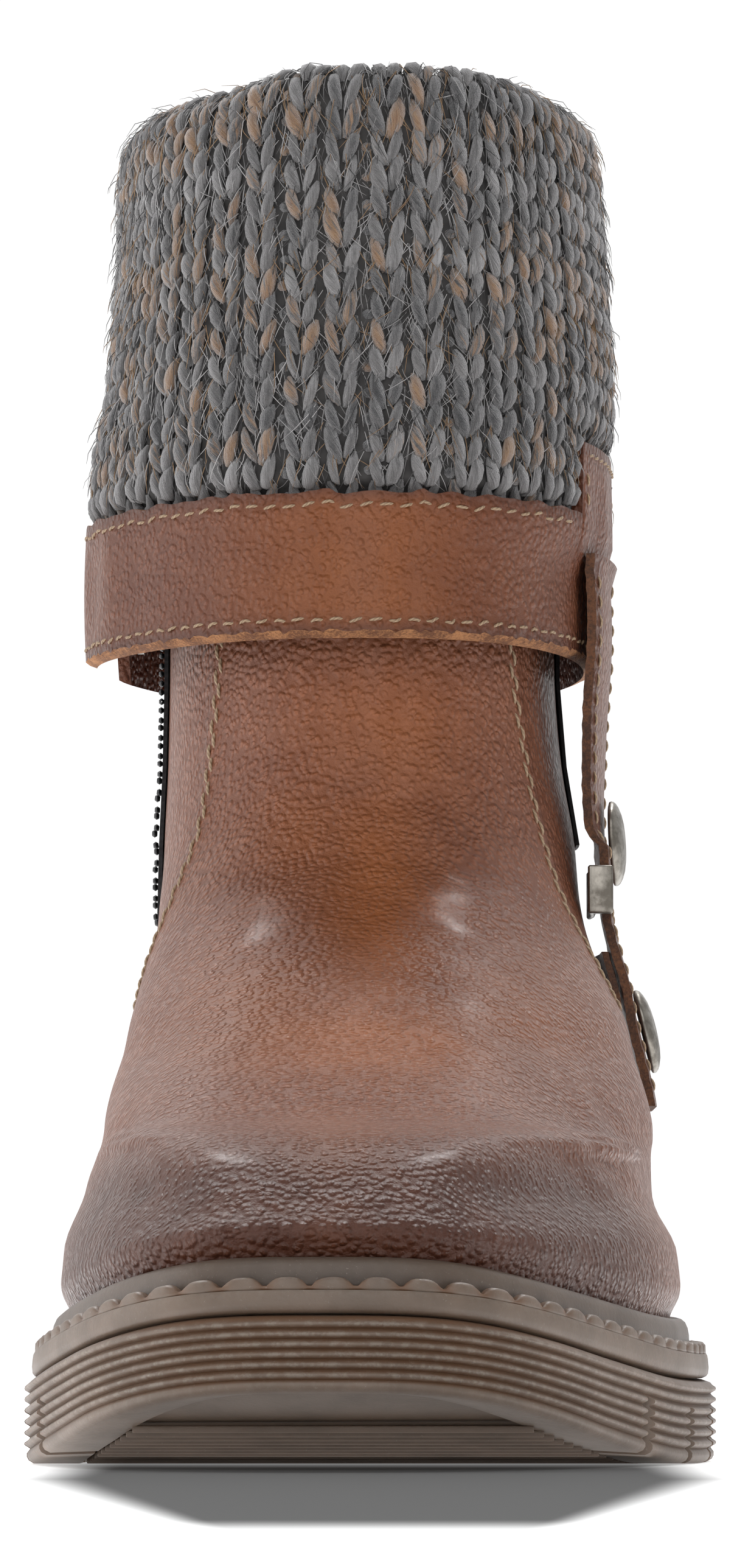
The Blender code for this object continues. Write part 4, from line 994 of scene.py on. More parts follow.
@dataclass
class SoleUnit:
    """Moulded sole: ribbed outsole and heel, flange, beads and the smooth rand."""

    last: BootLast
    rubber: Material
    rand_rubber_darker_and_shaded: Material
    steps: int = 200
    rib_depth: float = 0.0009
    rib_count: int = 6
    heel_rib_count: int = 3
    flange_inset: float = 0.00125
    flange_bottom: float = 0.43
    ribs_bottom: float = 0.90
    edge_radius: float = 0.0015
    heel_share: float = 0.34
    bead_outer: float = 0.0016
    bead_inner: float = 0.0039
    bead_pitch: float = 0.0066
    bead_height: float = 0.0013
    bead_base: float = 0.0006
    notch_width: float = 0.0028
    notch_height: float = 0.0085
    notch_reach: float = 0.0060
    forefoot_notches: tuple[float, ...] = (0.16, 0.235, 0.31, 0.385)
    heel_notches: tuple[float, ...] = (0.78, 0.88)
    rim_width: float = 0.0085
    tread_pitch: float = 0.0033
    tread_depth: float = 0.0009
    tread_front: float = -0.1145
    tread_back: float = -0.0250

    def angles(self) -> Array:
        """Angles round the sole."""
        return np.pi * np.arange(2 * self.steps) / self.steps

    def rib_profile(self, count: int) -> list[tuple[float, float, float]]:
        """Inset, place and crest of each line down a ribbed wall.

        Args:
            count: number of ribs.

        Returns:
            One row of three for each line, from the top down.
        """
        lines = []
        for rib in range(count):
            for place, crest in ((0.0, 0.0), (0.22, 0.35), (0.42, 0.92), (0.56, 1.0),
                                 (0.70, 0.92), (0.88, 0.35)):
                lines.append((self.rib_depth * (1 - crest), (rib + place) / count, crest))
        lines.append((self.rib_depth, 1.0, 0.0))
        return lines

    def capped(self, name: str, rings: list[Array], crest: list[float],
               valley: list[float], inward: int = 3) -> Piece:
        """A solid through a stack of rings, closed by strips from side to side.

        Args:
            name: the piece's name.
            rings: rings from the top down.
            crest: how much each ring is a crest.
            valley: how much each ring lies in a hollow, which the rubber tints amber and darkens
                with painted shade.
            inward: steps of the caps towards the middle line.

        Returns:
            The closed piece.
        """
        def cap(ring: Array) -> list[Array]:
            """Rings that close in on the middle line."""
            mirror = np.roll(ring[::-1], 1, axis=0)
            middle = (ring + mirror) / 2
            return [middle + (ring - middle) * (1 - (i + 1) / inward) for i in range(inward)]

        top, low = cap(rings[0])[::-1], cap(rings[-1])
        stack = np.array(top + rings + low)
        pads = [0.0] * inward
        made = Bench.grid(name, stack, wrap=True, marks={
            "crest": np.array(pads + crest + pads), "valley": np.array(pads + valley + pads)})
        Bench.face_out(made)
        return made

    def notches(self, shares: Sequence[float], heel: bool) -> list[Array]:
        """Eight corners of each side notch, as in the CAD.

        Args:
            shares: places of the notches along the sole.
            heel: whether they stand on the heel's ground.

        Returns:
            The notches' corners.
        """
        boxes = []
        for share in shares:
            angle = angle_at(share)
            base = 0.0 if heel else float(self.last.ground(np.array([share]))[0])
            for side in (angle, 2 * math.pi - angle):
                spot = self.last.inset(np.array([side]), np.array([self.notch_reach / 2]))[0][0]
                size = (2 * self.notch_reach, self.notch_width, 2 * self.notch_height)
                boxes.append(self.box((spot[0], spot[1], base), size))
        return boxes

    @staticmethod
    def box(middle: Sequence[float], size: Sequence[float]) -> Array:
        """Eight corners of a box."""
        corners = [(x, y, z) for x in (-0.5, 0.5) for y in (-0.5, 0.5) for z in (-0.5, 0.5)]
        return np.array(corners) * np.array(size) + np.array(middle)

    def outsole(self) -> None:
        """Ribbed outsole with its side notches."""
        angles = self.angles()
        rings = [self.last.sole_ring(angles, self.flange_inset + self.rib_depth,
                                     self.flange_bottom)]
        crest, valley = [0.0], [0.6]
        top = self.flange_bottom + 0.02
        for inset, place, high in self.rib_profile(self.rib_count):
            down = top + (self.ribs_bottom - top) * place
            rings.append(self.last.sole_ring(angles, inset, down))
            crest.append(high)
            valley.append(1 - high)
        for inset, down in ((0.0004, 0.93), (0.0004, 0.955), (0.0007, 0.98)):
            rings.append(self.last.sole_ring(angles, inset, down))
            crest.append(0.25)
            valley.append(0.0)
        for inset, lift in ((self.edge_radius, 0.0), (self.rim_width, 0.0),
                            (self.rim_width + 0.0004, self.tread_depth)):
            rings.append(self.last.sole_ring(angles, inset, 1.0, lift))
            crest.append(0.2)
            valley.append(0.0)
        made = self.capped("outsole_shell", rings, crest, valley)
        Bench.carve(made, self.notches(self.forefoot_notches, False), 0.0003)
        Bench.smooth_by_angle(made, 50)
        Bench.place(made, self.rubber, Slot.RUBBER, "outsole")

    def tread(self) -> None:
        """Bars across the recess of the forefoot's underside."""
        boxes = []
        for y in np.arange(self.tread_front, self.tread_back, self.tread_pitch):
            share = y / self.last.length + 0.5
            angle = angle_at(share)
            inset = np.array([self.rim_width + 0.0012])
            ends = [float(self.last.inset(np.array([turn]), inset)[0][0][0])
                    for turn in (angle, 2 * math.pi - angle)]
            base = float(self.last.ground(np.array([share]))[0])
            boxes.append(self.box((sum(ends) / 2, y, base + self.tread_depth * 0.6),
                                  (ends[0] - ends[1], self.tread_pitch * 0.58,
                                   self.tread_depth * 1.2)))
        made = Bench.boxes("tread_bars", boxes, 0.00018)
        Bench.place(made, self.rubber, Slot.RUBBER)

    def heel(self) -> None:
        """Heel block under the outsole, ribbed like its edge."""
        breast = angle_at(1 - self.heel_share)
        angles = np.linspace(breast, 2 * math.pi - breast, self.steps + 1)
        rings, crest, valley = [], [], []

        def add(inset: float, drop: float, high: float) -> None:
            """Add a ring at a share of the way down to the ground."""
            spot, share = self.last.inset(angles, np.full(angles.shape, inset))
            top = self.last.ground(share) - self.last.gap
            rings.append(np.concatenate([spot, (top * (1 - drop))[:, None]], axis=1))
            crest.append(high)
            valley.append((1 - high) * (drop < 0.99))

        share = self.heel_rib_count / (self.heel_rib_count + 0.5)
        for inset, place, high in self.rib_profile(self.heel_rib_count):
            add(inset, place * share, high)
        add(self.rib_depth, share + 0.04, 0.2)
        add(self.edge_radius * 0.7, 0.97, 0.2)
        add(self.edge_radius, 1.0, 0.0)

        top, low = ((ring + ring[::-1]) / 2 for ring in (rings[0], rings[-1]))
        made = Bench.grid("heel_shell", np.array([top] + rings + [low]), wrap=True, marks={
            "crest": np.array([0] + crest + [0]), "valley": np.array([0] + valley + [0])})
        Bench.face_out(made)
        Bench.carve(made, self.notches(self.heel_notches, True), 0.0003)
        Bench.smooth_by_angle(made, 50)
        Bench.place(made, self.rubber, Slot.RUBBER, "heel")

    def flange(self) -> None:
        """Smooth band over the ribs."""
        angles = self.angles()
        last, inset, gap = self.last, self.flange_inset, self.last.gap
        low, high = self.flange_bottom, last.flange_top
        rings = [
            last.sole_ring(angles, inset + 0.0003, high, gap * 0.95),
            last.sole_ring(angles, inset + 0.0001, high + 0.012, gap * 0.6),
            last.sole_ring(angles, inset, high + 0.03),
            last.sole_ring(angles, inset - 0.0001, (high + low) / 2),
            last.sole_ring(angles, inset, low - 0.03, gap),
            last.sole_ring(angles, inset + 0.0003, low - 0.012, gap),
            last.sole_ring(angles, inset + self.rib_depth, low, gap),
        ]
        made = self.capped("flange_band", rings, [0.2, 0.3, 0.15, 0.0, 0.1, 0.1, 0.0],
                           [0.0, 0.0, 0.0, 0.0, 0.0, 0.1, 0.2])
        Bench.smooth_by_angle(made, 50)
        Bench.place(made, self.rubber, Slot.RUBBER, "midsole")

    def beads(self) -> None:
        """Row of soft beads round the flange's top."""
        last = self.last
        spots = last.inset(np.linspace(0, 2 * np.pi, 721), np.full(721, self.bead_outer))[0]
        around = float(np.linalg.norm(np.diff(spots, axis=0), axis=1).sum())
        beads = round(around / self.bead_pitch)
        fine = 10
        angles = last.even_angles(self.bead_outer, beads * fine)
        phase = (np.arange(beads * fine) / fine + 0.25) % 1.0
        swell = np.clip(1 - np.abs((phase - 0.5) / 0.44) ** 3.2, 0, 1)
        rings, crest = [], []
        for inset, height, grow in ((0.0, 0.0, 0.0), (0.0, 0.6, 0.0), (0.02, 1.0, 0.55),
                                    (0.22, 1.0, 0.92), (0.5, 1.0, 1.0), (0.78, 1.0, 0.9),
                                    (0.98, 1.0, 0.5), (1.0, 0.6, 0.0), (1.0, 0.0, 0.0)):
            depth = self.bead_outer + (self.bead_inner - self.bead_outer) * inset
            tuck = 0.00035 * (1 - swell) * (1 if inset < 0.5 else -1)
            spot, share = last.inset(angles, depth + tuck)
            z = last.layer(share, last.flange_top) + last.gap
            z = z + self.bead_base * height + self.bead_height * grow * swell
            rings.append(np.concatenate([spot, z[:, None]], axis=1))
            crest.append(0.5 * grow * swell)
        made = Bench.grid("bead_row", np.array(rings), wrap=True, loop=True,
                          marks={"crest": np.array(crest), "valley": (1 - swell)[None]})
        Bench.face_out(made)
        Bench.place(made, self.rubber, Slot.RUBBER, "bead_welt")

    def rand(self) -> None:
        """Smooth rounded rand that grips the upper."""
        last, angles = self.last, self.angles()
        outer, inner = last.welt_inset, last.welt_inset + last.welt_width
        rows = (
            (outer, last.flange_top, last.gap), (outer - 0.00005, 0.20, 0.0), (outer, 0.12, 0.0),
            (outer + 0.0002, 0.07, 0.0), (outer + 0.0006, 0.03, 0.0), (outer + 0.0012, 0.008, 0.0),
            (outer + 0.0018, 0.0, 0.0), (inner - 0.0003, 0.012, 0.0), (inner, 0.035, 0.0),
            (inner, last.flange_top, last.gap),
        )
        rings = [last.sole_ring(angles, inset, down, lift) for inset, down, lift in rows]
        crest = np.array([0, 0.1, 0.15, 0.2, 0.2, 0.15, 0.1, 0, 0, 0], float)
        made = Bench.grid("rand_rim", np.array(rings), wrap=True, loop=True,
                          marks={"crest": crest * 0.5, "valley": np.zeros(len(rings))})
        Bench.face_out(made)
        # The rand takes the darker rubber copy, which is partly painted shade.
        Bench.place(made, self.rand_rubber_darker_and_shaded, Slot.RUBBER, "welt")

    def build(self) -> None:
        """Every layer of the sole, from the ground up."""
        self.outsole()
        self.tread()
        self.heel()
        self.flange()
        self.beads()
        self.rand()


FRONT_CREASES = (
    Crease(-34, 51, 26, 50, 3.0, 3.8, 0.65),
    Crease(-30, 58, 26, 57, 2.0, 5.0, 0.5),
    Crease(2, 100, 24, 96, -1.5, 2.6, 0.5),
    Crease(4, 90, 26, 84, -2.0, 2.4, 0.45),
    Crease(-26, 94, -4, 98, 1.5, 2.8, 0.45),
    Crease(-24, 80, -6, 86, 1.0, 2.6, 0.35),
    Crease(6, 74, 30, 66, -2.0, 2.6, 0.35),
    Crease(-2, 108, 18, 110, 1.0, 2.4, 0.35),
    Crease(30, 60, 42, 40, -2.0, 1.6, 0.35),
    Crease(34, 64, 46, 42, -2.0, 1.6, 0.35),
    Crease(26, 52, 38, 36, -1.5, 1.5, 0.28),
    Crease(-40, 52, -34, 40, 1.5, 1.6, 0.3),
    Crease(-36, 56, -42, 44, -1.0, 1.6, 0.25),
    Crease(-10, 66, 12, 64, 1.5, 3.4, 0.3),
)


# Amber patches on the upper's front, as x, z, width, height in mm and weight: partly mottled dye,
# partly the painted deep tone of the front faces between the highlights.
AMBER_AND_PAINTED_FRONT_PATCHES = (
    (-2.0, 66.0, 26.0, 7.0, 1.0),
    (0.0, 92.0, 9.0, 26.0, 0.9),
    (-6.0, 38.0, 8.0, 14.0, 0.9),
    (2.0, 122.0, 16.0, 16.0, 0.7),
    (-20.0, 72.0, 12.0, 9.0, 0.6),
    (22.0, 70.0, 14.0, 10.0, 0.5),
    (-12.0, 104.0, 10.0, 10.0, 0.5),
)


@dataclass
class Upper:
    """Leather upper with its front panel, creases, lining and seam stitches."""

    last: BootLast
    leather: Material
    lining: Material
    thread: Material
    wall: float = 0.0022
    panel_step: float = 0.0009
    slim_left: float = 0.0023
    slim_right: float = 0.0030
    seam_share: float = 0.010
    panel_columns: int = 44
    step_columns: int = 4
    back_columns: int = 64
    row_steps: int = 7

    def shares(self, seam: float) -> Array:
        """Shares of the way round of the columns on one side, front to back."""
        panel = np.linspace(0, seam, self.panel_columns + 1)
        step = seam + self.seam_share * np.arange(1, self.step_columns + 1) / self.step_columns
        back = np.linspace(seam + self.seam_share, 1, self.back_columns + 1)[1:]
        return np.concatenate([panel, step, back])

    def around(self, seam: float) -> tuple[Array, Array]:
        """Shares of the way round of all columns, and the side that each lies on."""
        half = self.shares(seam)
        share = np.concatenate([half, half[-2:0:-1]])
        return share, np.where(np.arange(len(share)) < len(half), 1.0, -1.0)

    @staticmethod
    def from_front(count: int) -> Array:
        """How many columns each of a ring's columns lies from the front's."""
        return np.minimum(np.arange(count), count - np.arange(count)).astype(float)

    def skin(self) -> Skin:
        """The upper's outer face, with panel step and creases."""
        rows = [self.last.lasting_points(inset, lift, *self.around(RINGS[0].seam))
                for inset, lift in LASTING]
        rows += [self.last.ring_points(ring, *self.around(ring.seam)) for ring in RINGS]
        steps = [0.0] * len(LASTING) + [ring.step for ring in RINGS]
        grid = self.slim(finer_rows(np.array(rows), self.row_steps))
        step = np.clip(finer_rows(np.array(steps), self.row_steps), 0, 1)
        base = Skin(grid)
        panel = 1 - smooth_step(self.from_front(grid.shape[1]), self.panel_columns,
                                self.panel_columns + self.step_columns)
        lift = self.panel_step * step[:, None] * panel[None, :] + self.creases(base)
        return Skin(grid + base.normals * lift[..., None])

    def slim(self, grid: Array) -> Array:
        """Draw the sides of the forepart in where the lasted leather leans inwards.

        Args:
            grid: points of the outer face.

        Returns:
            The moved points.
        """
        side = smooth_step(np.abs(Skin(grid).normals[..., 0]), 0.25, 0.85)
        z = grid[..., 2]
        rise = smooth_step(z, 0.033, 0.043) * (1 - 0.6 * smooth_step(z, 0.048, 0.062))
        rise = rise * (1 - smooth_step(z, 0.062, 0.090))
        front = 1 - smooth_step(grid[..., 1], -0.035, 0.004)
        amount = np.where(grid[..., 0] > 0, self.slim_right, self.slim_left)
        return grid - Skin(grid).normals * (amount * side * rise * front)[..., None]

    def creases(self, base: Skin) -> Array:
        """How far the listed creases move each point along its normal.

        Args:
            base: the face without creases.

        Returns:
            A height for each point.
        """
        x, z = base.points[..., 0] / MM, base.points[..., 2] / MM
        front = smooth_step(-base.normals[..., 1], 0.05, 0.35)
        lift = np.zeros(x.shape)
        for crease in FRONT_CREASES:
            ax, az = crease.x0, crease.z0
            bx, bz = crease.x1 - ax, crease.z1 - az
            length = math.hypot(bx, bz)
            along = ((x - ax) * bx + (z - az) * bz) / length**2
            off = ((x - ax) * -bz + (z - az) * bx) / length
            off = off - crease.sag * (1 - (2 * along - 1) ** 2)
            taper = smooth_step(along, -0.15, 0.3) * (1 - smooth_step(along, 0.7, 1.15))
            near = off / crease.width
            shape = -np.exp(-near**2) + 0.45 * np.exp(-((np.abs(near) - 1.7) / 0.8) ** 2)
            lift += crease.depth * MM * shape * taper * front
        return lift

    def shell(self, skin: Skin) -> None:
        """The leather wall, outside and inside.

        Args:
            skin: the upper's outer face.
        """
        inner = skin.points - skin.normals * self.wall
        inner[[0, -1], :, 2] = skin.points[[0, -1], :, 2]
        thin = inner[::4][::-1]
        if len(inner) % 4 != 1:
            thin = np.concatenate([thin, inner[:1]])
        stack = np.concatenate([skin.points, thin])
        count = skin.points.shape[1]
        column = self.from_front(count)
        seam = np.exp(-((column - self.panel_columns - 2) / 2.5) ** 2)
        high = smooth_step(skin.points[..., 2], 0.128, 0.150)
        low = 1 - smooth_step(skin.points[..., 2] - self.last.seat(
            skin.points[..., 1] / self.last.length + 0.5), 0.0, 0.006)
        raised = smooth_step(skin.points[..., 2], 0.060, 0.075)
        burnish = np.maximum(np.maximum(seam[None] * raised * 0.7, high * 0.8), low * 0.7)
        burnish = np.concatenate([burnish, np.zeros((len(thin), count))])
        # Amber patches on the front half only: partly mottled dye, partly the painted deep tone of
        # the front faces.
        warm = np.zeros(stack.shape[:2])
        for x, z, wide, tall, weight in AMBER_AND_PAINTED_FRONT_PATCHES:
            off = ((stack[..., 0] / MM - x) / wide) ** 2 + ((stack[..., 2] / MM - z) / tall) ** 2
            warm = np.maximum(warm, weight * np.exp(-off))
        warm = warm * (stack[..., 1] < 0.04)
        made = Bench.grid("upper_leather", stack, wrap=True, loop=True,
                          marks={"burnish": burnish, "warm": warm})
        Bench.face_out(made)
        Bench.place(made, self.leather, Slot.LEATHER, "upper")
        self.line(made, skin)

    def line(self, made: Piece, skin: Skin) -> None:
        """Give the inner faces the lining's material.

        Args:
            made: the leather wall.
            skin: the upper's outer face.
        """
        made.data.materials.append(self.lining)
        normals = np.zeros(len(made.data.polygons) * 3, np.float32)
        centres = np.zeros(len(made.data.polygons) * 3, np.float32)
        made.data.polygons.foreach_get("normal", normals)
        made.data.polygons.foreach_get("center", centres)
        normals, centres = normals.reshape(-1, 3), centres.reshape(-1, 3)
        rows = skin.points[:, :, 2].mean(axis=1)
        axis_y = np.interp(centres[:, 2], rows, skin.points[..., 1].mean(axis=1))
        out = centres - np.stack([np.zeros(len(centres)), axis_y, centres[:, 2]], axis=1)
        inside = (np.sum(unit(out) * normals, axis=1) < -0.1).astype(np.int32)
        made.data.polygons.foreach_set("material_index", inside)

    def seam_path(self, skin: Skin, medial: bool, inset: float, first: int) -> Array:
        """Points along a line that keeps an inset from the panel's edge.

        Args:
            skin: the upper's face.
            medial: whether the inner side's seam is meant.
            inset: distance from the edge, towards the front.
            first: the lowest row.

        Returns:
            Rows and columns of the line's points.
        """
        count = skin.points.shape[1]
        rows, columns = [], []
        for row in range(first, skin.points.shape[0]):
            picks = np.arange(self.panel_columns, self.panel_columns - 16, -1)
            index = (count - picks) % count if medial else picks
            line = skin.points[row, index]
            at = np.interp(inset, run_along(line), picks)
            rows.append(row)
            columns.append(count - at if medial else at)
        return np.array([rows, columns], float)

    def build(self) -> None:
        """Shell and seams."""
        skin = self.skin()
        self.shell(skin)
        sewing = Sewing()
        for medial in (False, True):
            for number, inset in enumerate((0.0016, 0.0028)):
                rows, columns = self.seam_path(skin, medial, inset, 11 * self.row_steps)
                sewing.run(skin, rows, columns, SEAM_STITCH, 0.5 * number)
        sewing.finish("seam_stitches", self.thread)


class Stitch(NamedTuple):
    """Distance from one stitch to the next, a stitch's length and half its thickness."""

    pitch: float
    length: float
    radius: float


SEAM_STITCH = Stitch(0.0043, 0.0031, 0.00034)
EDGE_STITCH = Stitch(0.0034, 0.0026, 0.00028)


class Sewing:
    """Stitches laid along lines on surfaces, gathered into one piece."""

    tilt = 0.00025
    arch = 0.00034
    bed = 0.00016

    def __init__(self) -> None:
        """Start with no stitches."""
        self.parts: list[tuple[Array, Array, Array]] = []

    def run(self, skin: Skin, rows: Array, columns: Array, stitch: Stitch,
            phase: float = 0.0) -> None:
        """Lay a row of stitches along a line of a surface.

        Args:
            skin: the surface.
            rows: rows of the line's points.
            columns: columns of the line's points.
            stitch: the kind of stitch.
            phase: shift of the row, as a share of the pitch.
        """
        pitch, length, radius = stitch
        run = run_along(skin.at(rows, columns))
        starts = np.arange(phase * pitch + 0.001, run[-1] - length, pitch)
        if not len(starts):
            return
        stops = np.linspace(0, 1, 6)
        place = starts[:, None] + stops[None] * length
        row = np.interp(place, run, rows)
        column = np.interp(place, run, columns)
        spot = skin.read(skin.points, row, column)
        up, _, across = skin.frame(spot, row, column)
        arch = np.sin(np.pi * stops)[None]
        path = spot + up * (arch * self.arch - self.bed)[..., None]
        path = path + across * (self.tilt * (2 * stops - 1))[None, :, None]
        thick = radius * np.array([0.25, 0.9, 1.0, 1.0, 0.9, 0.25])[None] * np.ones(place.shape)
        self.parts.append(Bench.strands(path, across, thick, thick * 0.85, 7, up))

    def finish(self, name: str, thread: Material) -> Piece:
        """Make one piece of all the stitches.

        Args:
            name: the piece's name.
            thread: its material.

        Returns:
            The piece.
        """
        points, faces, uvs, base = [], [], [], 0
        for part_points, part_faces, part_uvs in self.parts:
            points.append(part_points)
            faces.append(part_faces + base)
            uvs.append(part_uvs)
            base += len(part_points)
        made = Bench.arrays(name, np.concatenate(points), np.concatenate(faces),
                            np.concatenate(uvs))
        return Bench.place(made, thread, Slot.LEATHER)


@dataclass
class CuffForm:
    """Plan and profile of the folded collar, as in the CAD."""

    last: BootLast
    top: float = 0.2350
    width: float = 0.0875
    depth: float = 0.1200
    front_y: float = 0.0080
    middle_x: float = -0.0018
    knit: float = 0.0040
    knit_bottom: float = 0.1450
    band_bottom: float = 0.1370
    band_top: float = 0.1615
    band: float = 0.0020
    flare: float = 0.0060
    draw_in: float = 0.0030
    draw_top: float = 0.1595
    draw_bottom: float = 0.1495
    slit_top: float = 0.2000
    slit_width: float = 0.0280
    slit_y: float = 0.0715
    tab_top: float = 0.1740
    tab_start: float = 0.314
    tab_end: float = 0.530
    tab_edge: float = 0.002
    swell: float = 0.0030

    def spot(self, angle: Array, out: float, z: Array) -> Array:
        """Points between the shaft's outline (out 0) and the cuff's outline (out 1).

        Args:
            angle: angles from the front.
            out: share of the way to the cuff's outline.
            z: height of each point.

        Returns:
            The points.
        """
        side = np.where(angle <= np.pi, 1.0, -1.0)
        share = np.where(side > 0, angle / np.pi, 2 - angle / np.pi)
        shaft = self.last.ring_points(RINGS[-1], share, side)
        plan_x = side * np.abs(np.sin(angle)) ** 0.82
        x = self.middle_x + plan_x * self.width / 2
        y = self.front_y + self.depth * (1 - np.cos(angle)) / 2
        middle = self.slit_y - self.slit_width * 0.7
        near = np.exp(-(((y - middle) / (self.slit_width * 1.15)) ** 2))
        flare = self.flare * near * (1 - smooth_step(z, self.band_top, self.slit_top))
        drawn = self.draw_in * (1 - smooth_step(z, self.draw_bottom, self.draw_top))
        x = x + np.where(side < 0, flare, -drawn) * plan_x
        plan = shaft[..., :2] * (1 - out) + np.stack([x, y], axis=-1) * out
        return np.concatenate([plan, np.asarray(z)[..., None]], axis=-1)

    def ring(self, angles: Array, out: float, z: Array | float,
             inset: Array | float = 0.0) -> Array:
        """One ring of the cuff, moved in by an inset along its plan's normal.

        Args:
            angles: angles from the front.
            out: share of the way to the cuff's outline.
            z: height of the ring, or of each point.
            inset: distance inwards.

        Returns:
            The ring's points.
        """
        z = np.broadcast_to(np.asarray(z, float), angles.shape)
        step = 0.02
        spot = self.spot(angles, out, z)
        after = self.spot(np.mod(angles + step, 2 * np.pi), out, z)
        before = self.spot(np.mod(angles - step, 2 * np.pi), out, z)
        along = unit(after - before)
        inward = np.stack([-along[..., 1], along[..., 0], np.zeros(angles.shape)], axis=-1)
        return spot + inward * np.broadcast_to(np.asarray(inset, float), angles.shape)[..., None]

    def even_angles(self, count: int) -> Array:
        """Angles whose columns stand at even distances round the collar."""
        fine = np.linspace(0, 2 * np.pi, 1441)
        ring = self.ring(fine, 1.0, self.slit_top)
        return even_places(ring, fine, count)

    def on_tab(self, angles: Array, margin: float = 0.0) -> Array:
        """Whether columns lie on the band's tab, or in a margin round it."""
        share = angles / np.pi
        return (share > self.tab_start - margin) & (share < self.tab_end + margin)

    def drop(self, share: float) -> float:
        """Height at a share of the knit's drop."""
        return self.knit_bottom + (self.top - self.knit_bottom) * share

    def slit_half(self, z: Array | float) -> Array | float:
        """Half width at a height of the wedge that opens the inner side."""
        return self.slit_width / 2 / (self.slit_top - self.band_bottom) * (self.slit_top - z)

    def wedge(self, reach_in: float, low: float) -> Array:
        """Corners of the wedge that opens the inner side from below."""
        x_in, x_out = -self.width / 2 + reach_in, -self.width / 2 - 0.02
        half = self.slit_half(low)
        corners = []
        for x in (x_out, x_in):
            for side in (-1, 1):
                corners.append((x, self.slit_y + side * half, low))
                corners.append((x, self.slit_y + side * 0.0006, self.slit_top))
        return np.array(corners)

    def in_slit(self, points: Array, margin: float) -> Array:
        """Which points lie in the open wedge of the inner side."""
        half = self.slit_half(points[..., 2]) + margin
        return (points[..., 0] < -self.width / 2 + 0.008) & (
            np.abs(points[..., 1] - self.slit_y) < np.maximum(half, 0))


